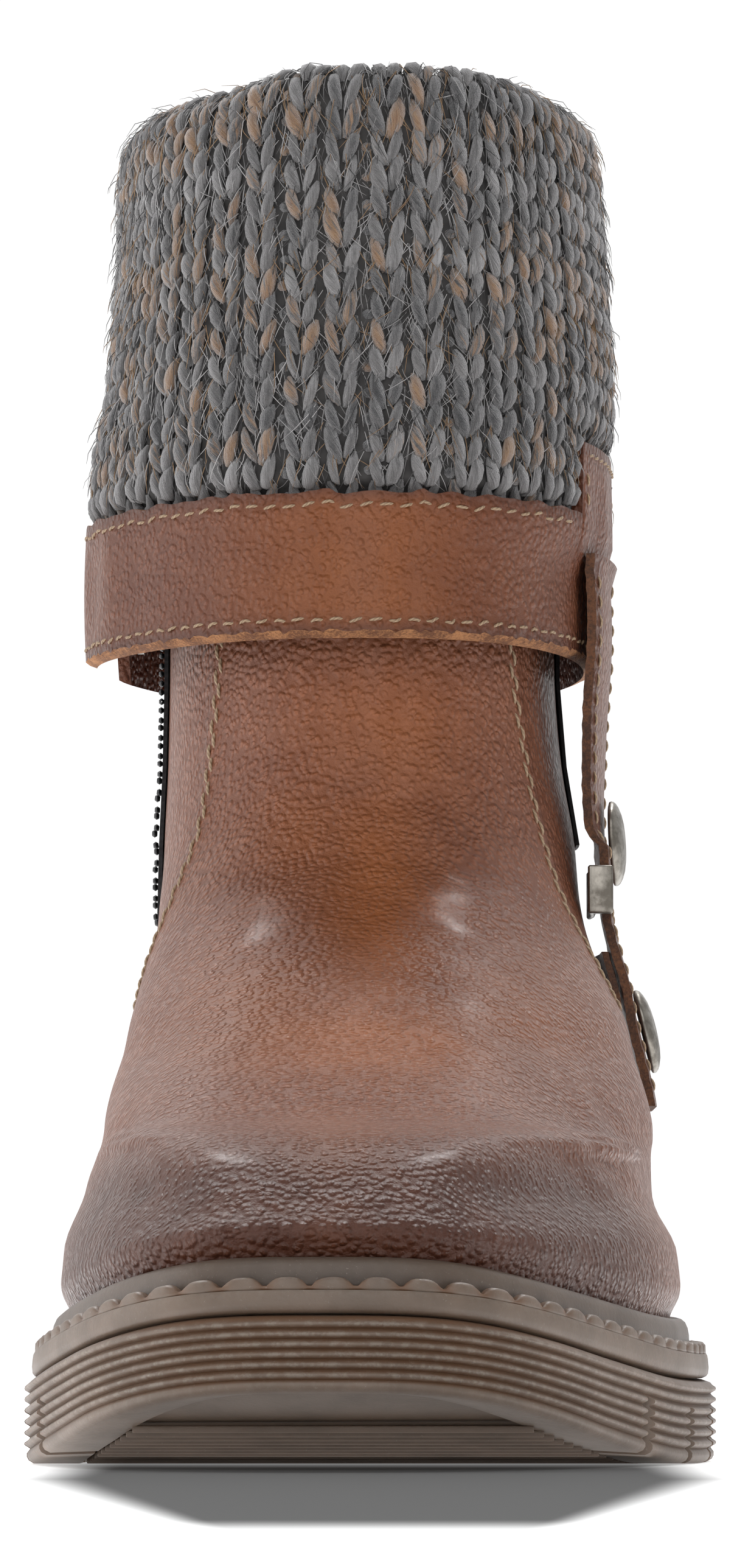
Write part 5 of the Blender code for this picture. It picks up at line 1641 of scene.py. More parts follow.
@dataclass
class KnitCollar:
    """Chunky rib-knit collar: dark ground that paints the shade between the stitches, V stitches,
    purl bars and loose fibres.
    """

    form: CuffForm
    yarn: Material
    # Dark ground: painted shade between the stitches, and the black lining inside the flap.
    ground: Material
    fibre: Material
    columns: int = 240
    groups: int = 23
    course: float = 0.0045
    course_rows: int = 8
    stitch_stops: int = 6
    stitch_sides: int = 7
    hair_stops: int = 4
    hair_sides: int = 3
    wale: float = 0.0062
    seed: int = 7
    hair_count: int = 9500
    slump_left: float = 0.0032
    slump_right: float = 0.0014
    slump_in: float = 0.0018

    def face_rows(self, angles: Array, sink: float) -> Array:
        """Rows of the collar's shown face, from the hem over the roll to the shaft's top.

        Args:
            angles: the columns' angles.
            sink: how deep under the CAD's face the rows lie.

        Returns:
            Rows, columns and coordinates.
        """
        form = self.form
        tuck = form.band + 2 * form.last.gap
        tab = form.on_tab(angles, 2 * form.tab_edge)
        rows = [form.ring(angles, 1.0, form.knit_bottom, tuck + sink),
                form.ring(angles, 1.0, form.draw_bottom, tuck + sink),
                form.ring(angles, 1.0, form.band_top + form.last.gap, tuck + sink),
                form.ring(angles, 1.0, form.band_top + form.swell,
                          np.where(tab, tuck, 0.0006) + sink),
                form.ring(angles, 1.0, form.tab_top + form.last.gap,
                          np.where(tab, tuck, 0.0) + sink),
                form.ring(angles, 1.0, form.tab_top + form.swell,
                          np.where(tab, 0.0006, 0.0) + sink)]
        folds = ((1.03, 0.450, 1.0), (1.02, 0.700, 1.0), (0.99, 0.870, 1.0), (0.84, 0.965, 0.6),
                 (0.52, 1.000, 0.0), (0.10, 0.985, -0.6), (-0.22, 0.930, -1.0),
                 (-0.34, 0.850, -1.0))
        for out, height, lean in folds:
            drop = sink * (1 - abs(lean)) if abs(lean) < 1 else 0.0
            rows.append(form.ring(angles, out, form.drop(height) - drop, sink * lean))
        inner = form.knit * 0.8
        rows.append(form.ring(angles, 0.0, form.last.shaft_top + form.swell, inner - sink))
        return self.slump(np.array(rows))

    def slump(self, points: Array) -> Array:
        """Let the roll sag towards the two sides, more on the medial one.

        Args:
            points: points of the collar's face.

        Returns:
            The moved points.
        """
        x, z = points[..., 0], points[..., 2]
        high = smooth_step(z, 0.217, 0.237)
        left = smooth_step(-x, 0.010, 0.028)
        right = smooth_step(x, 0.014, 0.032)
        down = high * (self.slump_left * left + self.slump_right * right)
        drawn = self.slump_in * smooth_step(z, 0.190, 0.222) * right
        return points - np.stack([drawn, np.zeros(x.shape), down], axis=-1)

    def core(self) -> None:
        """The knit's dark ground, a closed ring under the stitches: painted shade where it shows
        between them, and the black lining inside the flap.
        """
        form = self.form
        angles = form.even_angles(self.columns)
        face = finer_rows(self.face_rows(angles, 0.0013), 3)
        tuck = form.band + 2 * form.last.gap
        shaft_top = form.last.shaft_top + form.last.gap
        back = np.array([
            form.ring(angles, 0.0, shaft_top, form.knit * 0.8 - 0.0013),
            form.ring(angles, 0.0, shaft_top, form.last.gap),
            form.ring(angles, 0.0, form.drop(0.86), form.last.gap),
            form.ring(angles, 0.25, form.drop(0.925)),
            form.ring(angles, 1.0, form.drop(0.86), form.knit),
            form.ring(angles, 1.0, form.tab_top + form.swell, form.knit),
            form.ring(angles, 1.0, form.knit_bottom, tuck + form.knit - form.band),
        ])
        made = Bench.grid("knit_ground", np.concatenate([face, back]), wrap=True, loop=True)
        Bench.face_out(made)
        Bench.carve(made, [form.wedge(form.knit + 0.0005, form.knit_bottom - 0.002)])
        Bench.place(made, self.ground, Slot.KNIT, "knit_cuff")

    def build(self) -> None:
        """Ground, stitches and fibres."""
        self.core()
        angles = self.form.even_angles(self.columns)
        coarse = finer_rows(self.face_rows(angles, 0.0012), 10)
        run = np.linalg.norm(np.diff(coarse, axis=0), axis=2).mean(axis=1)
        run = np.concatenate([[0], np.cumsum(run)])
        courses = int(run[-1] / self.course)
        fine_rows = np.interp(np.linspace(0, run[-1], courses * self.course_rows + 1), run,
                              np.arange(len(coarse)))
        low = fine_rows.astype(int)
        share = (fine_rows - low)[:, None, None]
        high = np.minimum(low + 1, len(coarse) - 1)
        face = Skin(coarse[low] * (1 - share) + coarse[high] * share)
        self.stitches(face, courses)
        self.fuzz(face, courses)

    def tan_share(self, z: Array, x: Array) -> Array:
        """How much tan yarn runs at a height, in bands as in the marl.

        Args:
            z: heights.
            x: places across the boot, which tilt the bands.

        Returns:
            The share of tan stitches.
        """
        bands = ((224, 5.0, 0.62), (209, 2.6, 0.40), (201, 3.0, 0.55), (194, 2.6, 0.45),
                 (187, 2.8, 0.42), (169, 3.4, 0.55), (178, 2.0, 0.20), (232, 3.0, 0.3))
        share = np.full(z.shape, 0.10)
        for height, width, weight in bands:
            near = (z / MM - height - 1.5 * np.sin(x / MM * 0.11 + height)) / width
            share = share + weight * np.exp(-near**2)
        return np.clip(share, 0, 0.75)

    def stitches(self, face: Skin, courses: int) -> None:
        """Every V stitch and purl bar of the collar.

        Args:
            face: the collar's shown face.
            courses: number of courses on it.
        """
        dice = np.random.default_rng(self.seed)
        columns = face.points.shape[1]
        group = columns / self.groups
        per_mm = face.columns_per_mm()
        pitch = self.wale / MM
        arms = []
        for course in range(courses):
            for number in range(self.groups):
                for wale in (-0.5, 0.5):
                    for side in (-1, 1):
                        arms.append((course, number, wale * pitch, side, 1))
                arms.append((course, number, 1.16 * pitch, 0, 0))
        table = np.array(arms, float)
        count = len(table)
        course, number, shift, side, plain = table.T
        stops = np.linspace(0, 1, self.stitch_stops)[None]
        jitter = dice.normal(0, 1, (count, 6))
        course_mm = self.course / MM
        foot_x = side * 0.35 + jitter[:, 0] * 0.16
        head_x = side * (2.05 + 0.22 * jitter[:, 1])
        foot_y = -0.52 * course_mm + jitter[:, 2] * 0.30
        head_y = 0.86 * course_mm + jitter[:, 3] * 0.35
        x = foot_x[:, None] * (1 - stops) + head_x[:, None] * stops
        x = x + side[:, None] * 0.45 * np.sin(np.pi * stops) * 0.6
        y = foot_y[:, None] * (1 - stops) + head_y[:, None] * stops
        bar_x = (2 * stops - 1) * 1.25 + jitter[:, :1] * 0.15
        bar_y = 0.35 * np.sin(np.pi * stops) + jitter[:, 1:2] * 0.3
        is_bar = plain[:, None] < 0.5
        x = np.where(is_bar, bar_x, x)
        y = np.where(is_bar, bar_y, y)
        lift = -0.25 + 1.05 * np.sin(np.pi * np.clip(stops * 0.92 + 0.06, 0, 1)) ** 0.8
        lift = np.where(is_bar, -0.75 + 0.5 * np.sin(np.pi * stops), lift + 0.12 * jitter[:, 4:5])
        column = (number[:, None] + 0.5) * group + (shift[:, None] + x) * per_mm
        row = (course[:, None] + 0.5 + y / course_mm) * self.course_rows
        spot = face.at(row, column, lift * MM)
        up, _, across = face.frame(spot, row, column)
        leaf = np.array([0.34, 0.84, 1.0, 0.98, 0.78, 0.30])[None]
        fat = np.where(is_bar, 0.95, 1.14) * (1 + 0.12 * jitter[:, 5:6])
        wide = leaf * fat * MM
        keep = ~self.form.in_slit(spot[:, 2], 0.0008)
        keep &= spot[:, 2, 2] > self.form.knit_bottom + 0.0015
        z, where_x = spot[:, 2, 2], spot[:, 2, 0]
        tan = dice.random(count) < self.tan_share(z, where_x)
        tan_value = np.where(tan, dice.uniform(0.42, 0.80, count), dice.uniform(0.0, 0.16, count))
        drift = np.sin(course * 1.7 + number * 0.35) * 0.16 + np.sin(course * 0.6) * 0.10
        shade = np.clip(0.44 + drift + dice.normal(0, 0.10, count), 0, 1)
        # Purl bars, which lie deeper, are darkened: painted shade in the ribs' hollows.
        shade = np.where(plain < 0.5, shade * 0.45, shade)
        inside = row[:, 2] > self.course_rows * courses * 0.56
        for name, pick in (("knit_stitches", keep & ~inside),
                           ("knit_stitches_inside", keep & inside)):
            points, faces, uvs = Bench.strands(spot[pick], across[pick], wide[pick],
                                               wide[pick] * 0.80, self.stitch_sides, up[pick])
            per = self.stitch_stops * self.stitch_sides
            marks = {"tan": np.repeat(tan_value[pick], per), "shade": np.repeat(shade[pick], per),
                     "seed": np.repeat(dice.random(int(pick.sum())), per)}
            made = Bench.arrays(name, points, faces, uvs, marks)
            Bench.place(made, self.yarn, Slot.KNIT)

    def fuzz(self, face: Skin, courses: int) -> None:
        """Loose mohair fibres over the stitches."""
        for number, name in enumerate(("knit_fibres", "knit_fibres_second")):
            dice = np.random.default_rng(self.seed + 1 + number)
            self.hairs(face, courses, dice, name)

    def hairs(self, face: Skin, courses: int, dice: np.random.Generator, name: str) -> None:
        """One piece of loose fibres, most of them lying along the wales.

        Args:
            face: the collar's shown face.
            courses: number of courses on it.
            dice: the random draws.
            name: the piece's name.
        """
        count = self.hair_count
        stops = np.linspace(0, 1, self.hair_stops)[None]
        row = dice.uniform(self.course_rows, self.course_rows * courses * 0.72, count)
        column = dice.uniform(0, face.points.shape[1], count)
        length = dice.uniform(2.5, 7.5, count)
        lean = dice.choice((-1.0, 1.0), count) * 0.30 + dice.normal(0, 0.28, count)
        curl = dice.normal(0, 0.9, count)
        loose = dice.random(count) < 0.22
        rise = np.where(loose, np.abs(dice.normal(0.9, 0.6, count)), dice.uniform(0, 0.3, count))
        drop = length[:, None] * stops * np.cos(lean)[:, None]
        sway = length[:, None] * stops * np.sin(lean)[:, None] + curl[:, None] * stops**2
        r = row[:, None] - drop * self.course_rows / (self.course / MM)
        c = column[:, None] + sway * face.columns_per_mm()
        ground = 0.45 + 0.75 * dice.random(count)
        lift = ground[:, None] + rise[:, None] * stops * (2.2 - 1.2 * stops)
        spot = face.at(r, c, lift * MM)
        up, along, across = face.frame(spot, r, c)
        up = unit(np.cross(along, across))
        keep = ~self.form.in_slit(spot[:, 1], 0.0015)
        keep &= ~self.form.in_slit(spot[:, 3], 0.0015)
        keep &= spot[:, 3, 2] > self.form.band_top + 0.0005
        thick = 0.00008 * np.array([0.8, 1.0, 0.8, 0.3])[None] * np.ones(r.shape)
        points, faces, uvs = Bench.strands(spot[keep], across[keep], thick[keep], thick[keep],
                                           self.hair_sides, up[keep])
        kept = int(keep.sum())
        per = self.hair_stops * self.hair_sides
        tan = dice.random(count) < self.tan_share(spot[:, 1, 2], spot[:, 1, 0]) * 0.45
        marks = {"shade": np.repeat(dice.random(kept), per),
                 "tan": np.repeat(tan[keep].astype(float), per)}
        made = Bench.arrays(name, points, faces, uvs, marks)
        Bench.place(made, self.fibre, Slot.KNIT)


@dataclass
class CuffBand:
    """Leather band with its tab, sewn round the collar's hem."""

    form: CuffForm
    leather: Material
    edge: Material
    thread: Material
    columns: int = 300
    chamfer: float = 0.0011

    def angles(self) -> Array:
        """Angles of the columns, with a close pair at each edge of the tab."""
        even = 2 * np.pi * np.arange(self.columns) / self.columns
        edge = self.form.tab_edge * np.pi
        marks = np.array([share * np.pi + turn * edge
                          for share in (self.form.tab_start, self.form.tab_end)
                          for turn in (-1, 1)])
        far = np.all(np.abs(even[:, None] - marks[None]) > np.pi / self.columns * 0.9, axis=1)
        return np.sort(np.concatenate([even[far], marks]))

    def build(self) -> None:
        """The band, its raw edges and its stitches."""
        form, angles = self.form, self.angles()
        tab = form.on_tab(angles)
        wave = 0.0002 * (np.sin(angles * 31) + np.sin(angles * 47 + 1))
        low, high = form.band_bottom, form.band_top
        top = np.where(tab, form.tab_top, high + wave)
        nib = np.zeros(angles.shape)
        for place in (1.86, 1.972, 0.052):
            nib = np.maximum(nib, np.clip(1 - np.abs(np.mod(angles - place * np.pi + np.pi,
                                                            2 * np.pi) - np.pi) / 0.035, 0, 1))
        top = top + 0.0009 * nib
        ripple = 0.0004 * np.sin(angles * 23 + 0.6) * np.exp(-((angles - 0.42 * np.pi) / 0.3) ** 2)
        ripple = ripple + 0.0005 * np.sin(angles * 19) * np.exp(
            -((angles - 1.62 * np.pi) / 0.35) ** 2)
        rows = []
        marks = []
        fray = 0.00016 * (np.sin(angles * 61) + np.sin(angles * 97 + 2) + np.sin(angles * 143))
        foot = low + self.chamfer + fray
        for share in np.linspace(0, 1, 13):
            z = foot + (top - foot) * share
            rows.append(form.ring(angles, 1.0, z, ripple * math.sin(math.pi * share)))
            marks.append(np.full(angles.shape, max(0.0, 1 - min(share, 1 - share) * 9)))
        inner = [form.ring(angles, 1.0, low + (top - low) * share, form.band)
                 for share in (1.0, 0.66, 0.33, 0.0)]
        inner.append(form.ring(angles, 1.0, low + 0.4 * self.chamfer, form.band * 0.42))
        burnish = np.array(marks + [np.zeros(angles.shape)] * 5)
        stack = np.array(rows + inner)
        # Amber down the band's front: partly mottled dye, partly the painted deep tone of the front
        # faces.
        warm = np.exp(-((stack[..., 0] + 0.002) / 0.020) ** 2) * (stack[..., 1] < 0.04)
        made = Bench.grid("band_leather", stack, wrap=True, loop=True,
                          marks={"burnish": burnish, "warm": warm})
        Bench.face_out(made)
        Bench.carve(made, [form.wedge(0.0110, form.band_bottom - 0.002)])
        Bench.smooth_by_angle(made, 45)
        Bench.place(made, self.leather, Slot.LEATHER, "cuff_band")
        self.raw_edge(made)
        self.sew(Skin(np.array(rows)), angles, top - foot)

    def raw_edge(self, made: Piece) -> None:
        """Give the band's cut edges the raw leather's material."""
        made.data.materials.append(self.edge)
        rim = self.form.band_bottom + self.chamfer * 0.85
        for face in made.data.polygons:
            if face.center.z < rim or abs(face.normal.z) > 0.7:
                face.material_index = 1

    def sew(self, skin: Skin, angles: Array, height: Array) -> None:
        """Stitch lines along the band's top, bottom and tab.

        Args:
            skin: the band's outer face.
            angles: angles of its columns.
            height: height of the leather at each column.
        """
        form = self.form
        sewing = Sewing()
        count = len(angles)
        turn = angle_at((form.slit_y - form.front_y) / form.depth)
        start = int(np.searchsorted(angles, 2 * math.pi - turn))
        columns = start + np.arange(count)
        index = columns % count
        plain = ~form.on_tab(angles, 0.012)[index]
        slit = ~form.in_slit(skin.points[2], 0.0012)[index]
        low_row = (12 * 0.0018 / height)[index]
        high_row = (12 * (1 - 0.0022 / height))[index]
        for row, keep in ((low_row, slit), (high_row, plain & slit)):
            breaks = np.flatnonzero(np.diff(keep.astype(int))) + 1
            for part in np.split(np.arange(count), breaks):
                if len(part) > 4 and keep[part[0]]:
                    sewing.run(skin, row[part], columns[part].astype(float), EDGE_STITCH)
        tab = np.flatnonzero(form.on_tab(angles))
        first, last = tab[0] + 2.2, tab[-1] - 2.2
        top_row = 11.35
        side_rows = np.linspace(12 * 0.66, top_row, 12)
        for rows, line in ((side_rows, np.full(12, first)),
                           (np.full(40, top_row), np.linspace(first, last, 40)),
                           (side_rows, np.full(12, last))):
            sewing.run(skin, rows, line, EDGE_STITCH)
        sewing.finish("band_stitches", self.thread)


class Rung(NamedTuple):
    """One row of the strap's run; see SideStrap."""

    height: float
    out: float
    crown: float


STRAP_RUN = (
    Rung(0.0595, 0.0486, 0.00),
    Rung(0.0660, 0.0476, 0.02),
    Rung(0.0740, 0.0460, 0.04),
    Rung(0.0820, 0.0440, 0.06),
    Rung(0.0910, 0.0422, 0.08),
    Rung(0.0966, 0.0412, 0.09),
    Rung(0.1025, 0.0406, 0.10),
    Rung(0.1080, 0.0404, 0.10),
    Rung(0.1140, 0.0403, 0.11),
    Rung(0.1210, 0.0406, 0.12),
    Rung(0.1290, 0.0410, 0.13),
    Rung(0.1380, 0.0417, 0.13),
    Rung(0.1470, 0.0418, 0.13),
    Rung(0.1550, 0.0412, 0.13),
)


@dataclass
class SideStrap:
    """Leather strap down the outer side, with its underlay, rivets and loop."""

    form: CuffForm
    leather: Material
    edge: Material
    thread: Material
    metal: Material
    nodes: dict[str, Piece]
    width: float = 0.0250
    thickness: float = 0.0019
    middle_y: float = 0.0510
    reach: float = 0.0036
    underlay: float = 0.0014
    loop_z: float = 0.0966
    loop_height: float = 0.0083
    plate: float = 0.0010
    rivet_radius: float = 0.0074
    rivet_dome: float = 0.0026

    def __post_init__(self) -> None:
        """Keep a search tree over the CAD upper."""
        mesh = self.nodes["upper"].data
        points = [vertex.co.copy() for vertex in mesh.vertices]
        faces = [tuple(face.vertices) for face in mesh.polygons]
        self.tree = BVHTree.FromPolygons(points, faces)

    def clear(self, y: float, z: float, thickness: float) -> float:
        """Least x of an outer face that clears the upper.

        Args:
            y: place along the boot.
            z: height.
            thickness: the leather's thickness.

        Returns:
            The face's x.
        """
        best = -1.0
        for dy in (-self.reach, 0, self.reach):
            for dz in (-self.reach, 0, self.reach):
                hit = self.tree.ray_cast(Vector((0.1085, y + dy, z + dz)), Vector((-1, 0, 0)))[0]
                best = max(best, hit.x)
        return best + self.form.last.gap + thickness

    def plate_face(self, y: float) -> float:
        """Outer face of the loop's back plate."""
        half = self.loop_height / 2
        return max(self.clear(y, self.loop_z + dz, self.plate) for dz in (-half, 0, half))

    def band_face(self, y: float, z: float) -> float:
        """The band's x on the outer side."""
        share = (y - self.form.front_y) / self.form.depth
        angle = np.array([angle_at(share)])
        return float(self.form.spot(angle, 1.0, np.array([z]))[0, 0])

    def face(self, y: float, z: float) -> float:
        """Outer face of the strap at a place along and a height, as in the CAD.

        Args:
            y: place along the boot.
            z: height.

        Returns:
            The face's x.
        """
        place = (self.middle_y + self.width / 2 - y) / self.width
        crown = float(table_value(STRAP_RUN, "height", "crown", z)) * self.width
        out = float(table_value(STRAP_RUN, "height", "out", z)) - crown * place * place
        under = self.underlay + self.form.last.gap
        out = max(out, self.clear(y, z, under + self.thickness))
        if abs(z - self.loop_z) < self.loop_height:
            out = max(out, self.plate_face(y) + 2 * self.form.last.gap + self.thickness)
        if z > self.form.band_bottom - self.thickness:
            out = max(out, self.band_face(y, z) + 2 * self.form.last.gap + self.thickness)
        return out

    def strip(self, name: str, low: float, high: float, thickness: float, rows: int,
              over: bool, node: str) -> Skin:
        """A leather strip with rounded edges down the outer side.

        Args:
            name: the piece's name.
            low: height of its lower end.
            high: height of its upper end.
            thickness: the leather's thickness.
            rows: rows along it.
            over: whether it is the outer strap, or the underlay.
            node: the CAD node that it stands for.

        Returns:
            Its outer face.
        """
        across = 12
        places = np.linspace(-0.5, 0.5, across + 1)
        outer = np.zeros((rows + 1, across + 1, 3))
        for r, z in enumerate(np.linspace(low, high, rows + 1)):
            for c, place in enumerate(places):
                y = self.middle_y + place * self.width
                x = self.face(y, z) if over else self.clear(y, z, thickness)
                outer[r, c] = (x, y, z)
        kernel = np.array([1, 4, 6, 4, 1]) / 16
        smooth = np.pad(outer[..., 0], ((2, 2), (0, 0)), mode="edge")
        smooth = sum(kernel[i] * smooth[i:i + rows + 1] for i in range(5))
        outer[..., 0] = np.maximum(smooth, outer[..., 0] - 0.0002)
        z = outer[..., 2]
        wave = 0.00009 * np.sin(z * 2 * np.pi / 0.0034)
        rim = np.abs(places) > 0.49
        if over:
            outer[..., 0] += np.where(rim[None], wave, 0)
        inner = outer.copy()
        inner[..., 0] -= thickness
        soft = outer.copy()
        soft[:, 0, 0] -= thickness * 0.18
        soft[:, -1, 0] -= thickness * 0.18
        stack = np.concatenate([soft, inner[:, ::-1]], axis=1)
        burnish = np.zeros(stack.shape[:2])
        burnish[:, :2] = 0.7
        burnish[:, across - 1:across + 1] = 0.7
        made = Bench.grid(name, stack, wrap=True, marks={"burnish": burnish})
        Bench.activate(made)
        bpy.ops.object.mode_set(mode="EDIT")
        bpy.ops.mesh.select_all(action="DESELECT")
        bpy.ops.mesh.select_non_manifold()
        bpy.ops.mesh.edge_face_add()
        bpy.ops.mesh.select_all(action="SELECT")
        bpy.ops.mesh.normals_make_consistent(inside=False)
        bpy.ops.object.mode_set(mode="OBJECT")
        Bench.smooth_by_angle(made, 45)
        Bench.place(made, self.leather, Slot.LEATHER, node)
        made.data.materials.append(self.edge)
        for face in made.data.polygons:
            if abs(face.normal.x) < 0.5:
                face.material_index = 1
        return Skin(outer, closed=False)

    def rivet(self, name: str, node: str) -> None:
        """Domed cap turned from its profile, square to the strap.

        Args:
            name: the piece's name.
            node: the CAD rivet that it stands for.
        """
        points = node_points(self.nodes[node])
        centre = points.mean(axis=0)
        _, _, axes = np.linalg.svd(points - centre)
        out = axes[2] if axes[2][0] > 0 else -axes[2]
        side = unit(np.cross(out, (0.0, 0.0, 1.0)))
        up = np.cross(side, out)
        along = (points - centre) @ out
        seat = centre + out * along.min()
        profile = ((0.0, 0.0), (0.90, 0.0), (0.985, 0.08), (1.0, 0.22), (0.985, 0.36),
                   (0.94, 0.50), (0.84, 0.66), (0.68, 0.82), (0.48, 0.93), (0.24, 0.985),
                   (0.0, 1.0))
        turn = 2 * np.pi * np.arange(48) / 48
        ring = np.cos(turn)[:, None] * side + np.sin(turn)[:, None] * up
        rows = [seat + ring * r * self.rivet_radius + out * h * self.rivet_dome
                for r, h in profile]
        made = Bench.grid(name, np.array(rows), wrap=True)
        Bench.face_out(made)
        Bench.place(made, self.metal, Slot.METAL, node)

    def build(self) -> None:
        """Strap, underlay, rivets and edge stitches."""
        skin = self.strip("strap_leather", STRAP_RUN[0].height, STRAP_RUN[-1].height,
                          self.thickness, 64, True, "side_strap")
        self.strip("underlay_leather", 0.0510, 0.0860, self.underlay, 24, False,
                   "strap_underlay")
        sewing = Sewing()
        rows = np.linspace(1, 63, 80)
        for column in (0.9, 11.1):
            sewing.run(skin, rows, np.full(80, column), EDGE_STITCH)
        sewing.finish("strap_stitches", self.thread)
        self.rivet("rivet_upper_cap", "rivet_upper")
        self.rivet("rivet_lower_cap", "rivet_lower")
        loop = bevelled(self.nodes["strap_loop"], "loop_metal", 0.0004)
        Bench.place(loop, self.metal, Slot.METAL, "strap_loop")


def bevelled(node: Piece, name: str, width: float) -> Piece:
    """A merged copy of a metal CAD node with its edges broken.

    Args:
        node: the CAD node.
        name: the copy's name.
        width: width of the bevel.

    Returns:
        The copy.
    """
    mesh = node.data.copy()
    made = bpy.data.objects.new(name, mesh)
    mesh.name = name
    bpy.context.scene.collection.objects.link(made)
    Bench.edit(made, partial(bpy.ops.mesh.remove_doubles, threshold=1e-5),
               partial(bpy.ops.mesh.dissolve_limited, angle_limit=math.radians(1)))
    Bench.finish(made, "BEVEL", width=width, segments=2, limit_method="ANGLE",
                 angle_limit=math.radians(35))
    Bench.smooth_by_angle(made, 40)
    return made


@dataclass
class SideZip:
    """Zip on the inner side: single teeth, slider and pull."""

    chain: Material
    metal: Material
    nodes: dict[str, Piece]
    pitch: float = 0.0016
    tooth: float = 0.0024

    def teeth(self) -> None:
        """Interlocked teeth, one after another from either side."""
        points = node_points(self.nodes["zip_teeth"])
        low, high = points[:, 2].min(), points[:, 2].max()
        heights = np.arange(low, high, self.pitch)
        middle = []
        for z in heights:
            near = points[np.argsort(np.abs(points[:, 2] - z))[:8]]
            middle.append((near[:, 0].min() + 0.0004, near[:, 1].mean(), z))
        middle = np.array(middle)
        kernel = np.ones(5) / 5
        for axis in (0, 1):
            padded = np.pad(middle[:, axis], 2, mode="edge")
            middle[:, axis] = np.convolve(padded, kernel, mode="valid")
        along = unit(np.gradient(middle, axis=0))
        across = unit(np.cross(along, np.array([[-1.0, 0.0, 0.0]])))
        up = unit(np.cross(across, along))
        side = np.where(np.arange(len(middle)) % 2, 1.0, -1.0)[:, None]
        stops = np.linspace(-1, 1, 5)[None, :, None]
        centre = middle + across * side * 0.0008
        path = centre[:, None] + across[:, None] * stops * self.tooth / 2
        shape = (len(middle), 5)
        wide = np.broadcast_to(np.array([0.2, 0.85, 1.0, 0.85, 0.2]) * 0.00062, shape)
        section = np.broadcast_to(along[:, None], path.shape)
        tall = np.broadcast_to(up[:, None], path.shape)
        made_points, faces, _ = Bench.strands(path, section, wide, wide * 0.9, 6, tall)
        made = Bench.arrays("zip_chain", made_points, faces)
        Bench.face_out(made)
        Bench.place(made, self.chain, Slot.CHAIN, "zip_teeth")

    def build(self) -> None:
        """Teeth, slider and pull."""
        self.teeth()
        for node, name, body in (("zip_slider", "slider_metal", BOOT),
                                 ("zip_pull", "pull_metal", PULL)):
            made = bevelled(self.nodes[node], name, 0.00018)
            Bench.place(made, self.metal, Slot.METAL, node, body=body)


def dress_node(node: Piece, material: Material) -> None:
    """Give a carried-over CAD node its finished material."""
    node.data.materials.clear()
    node.data.materials.append(material)


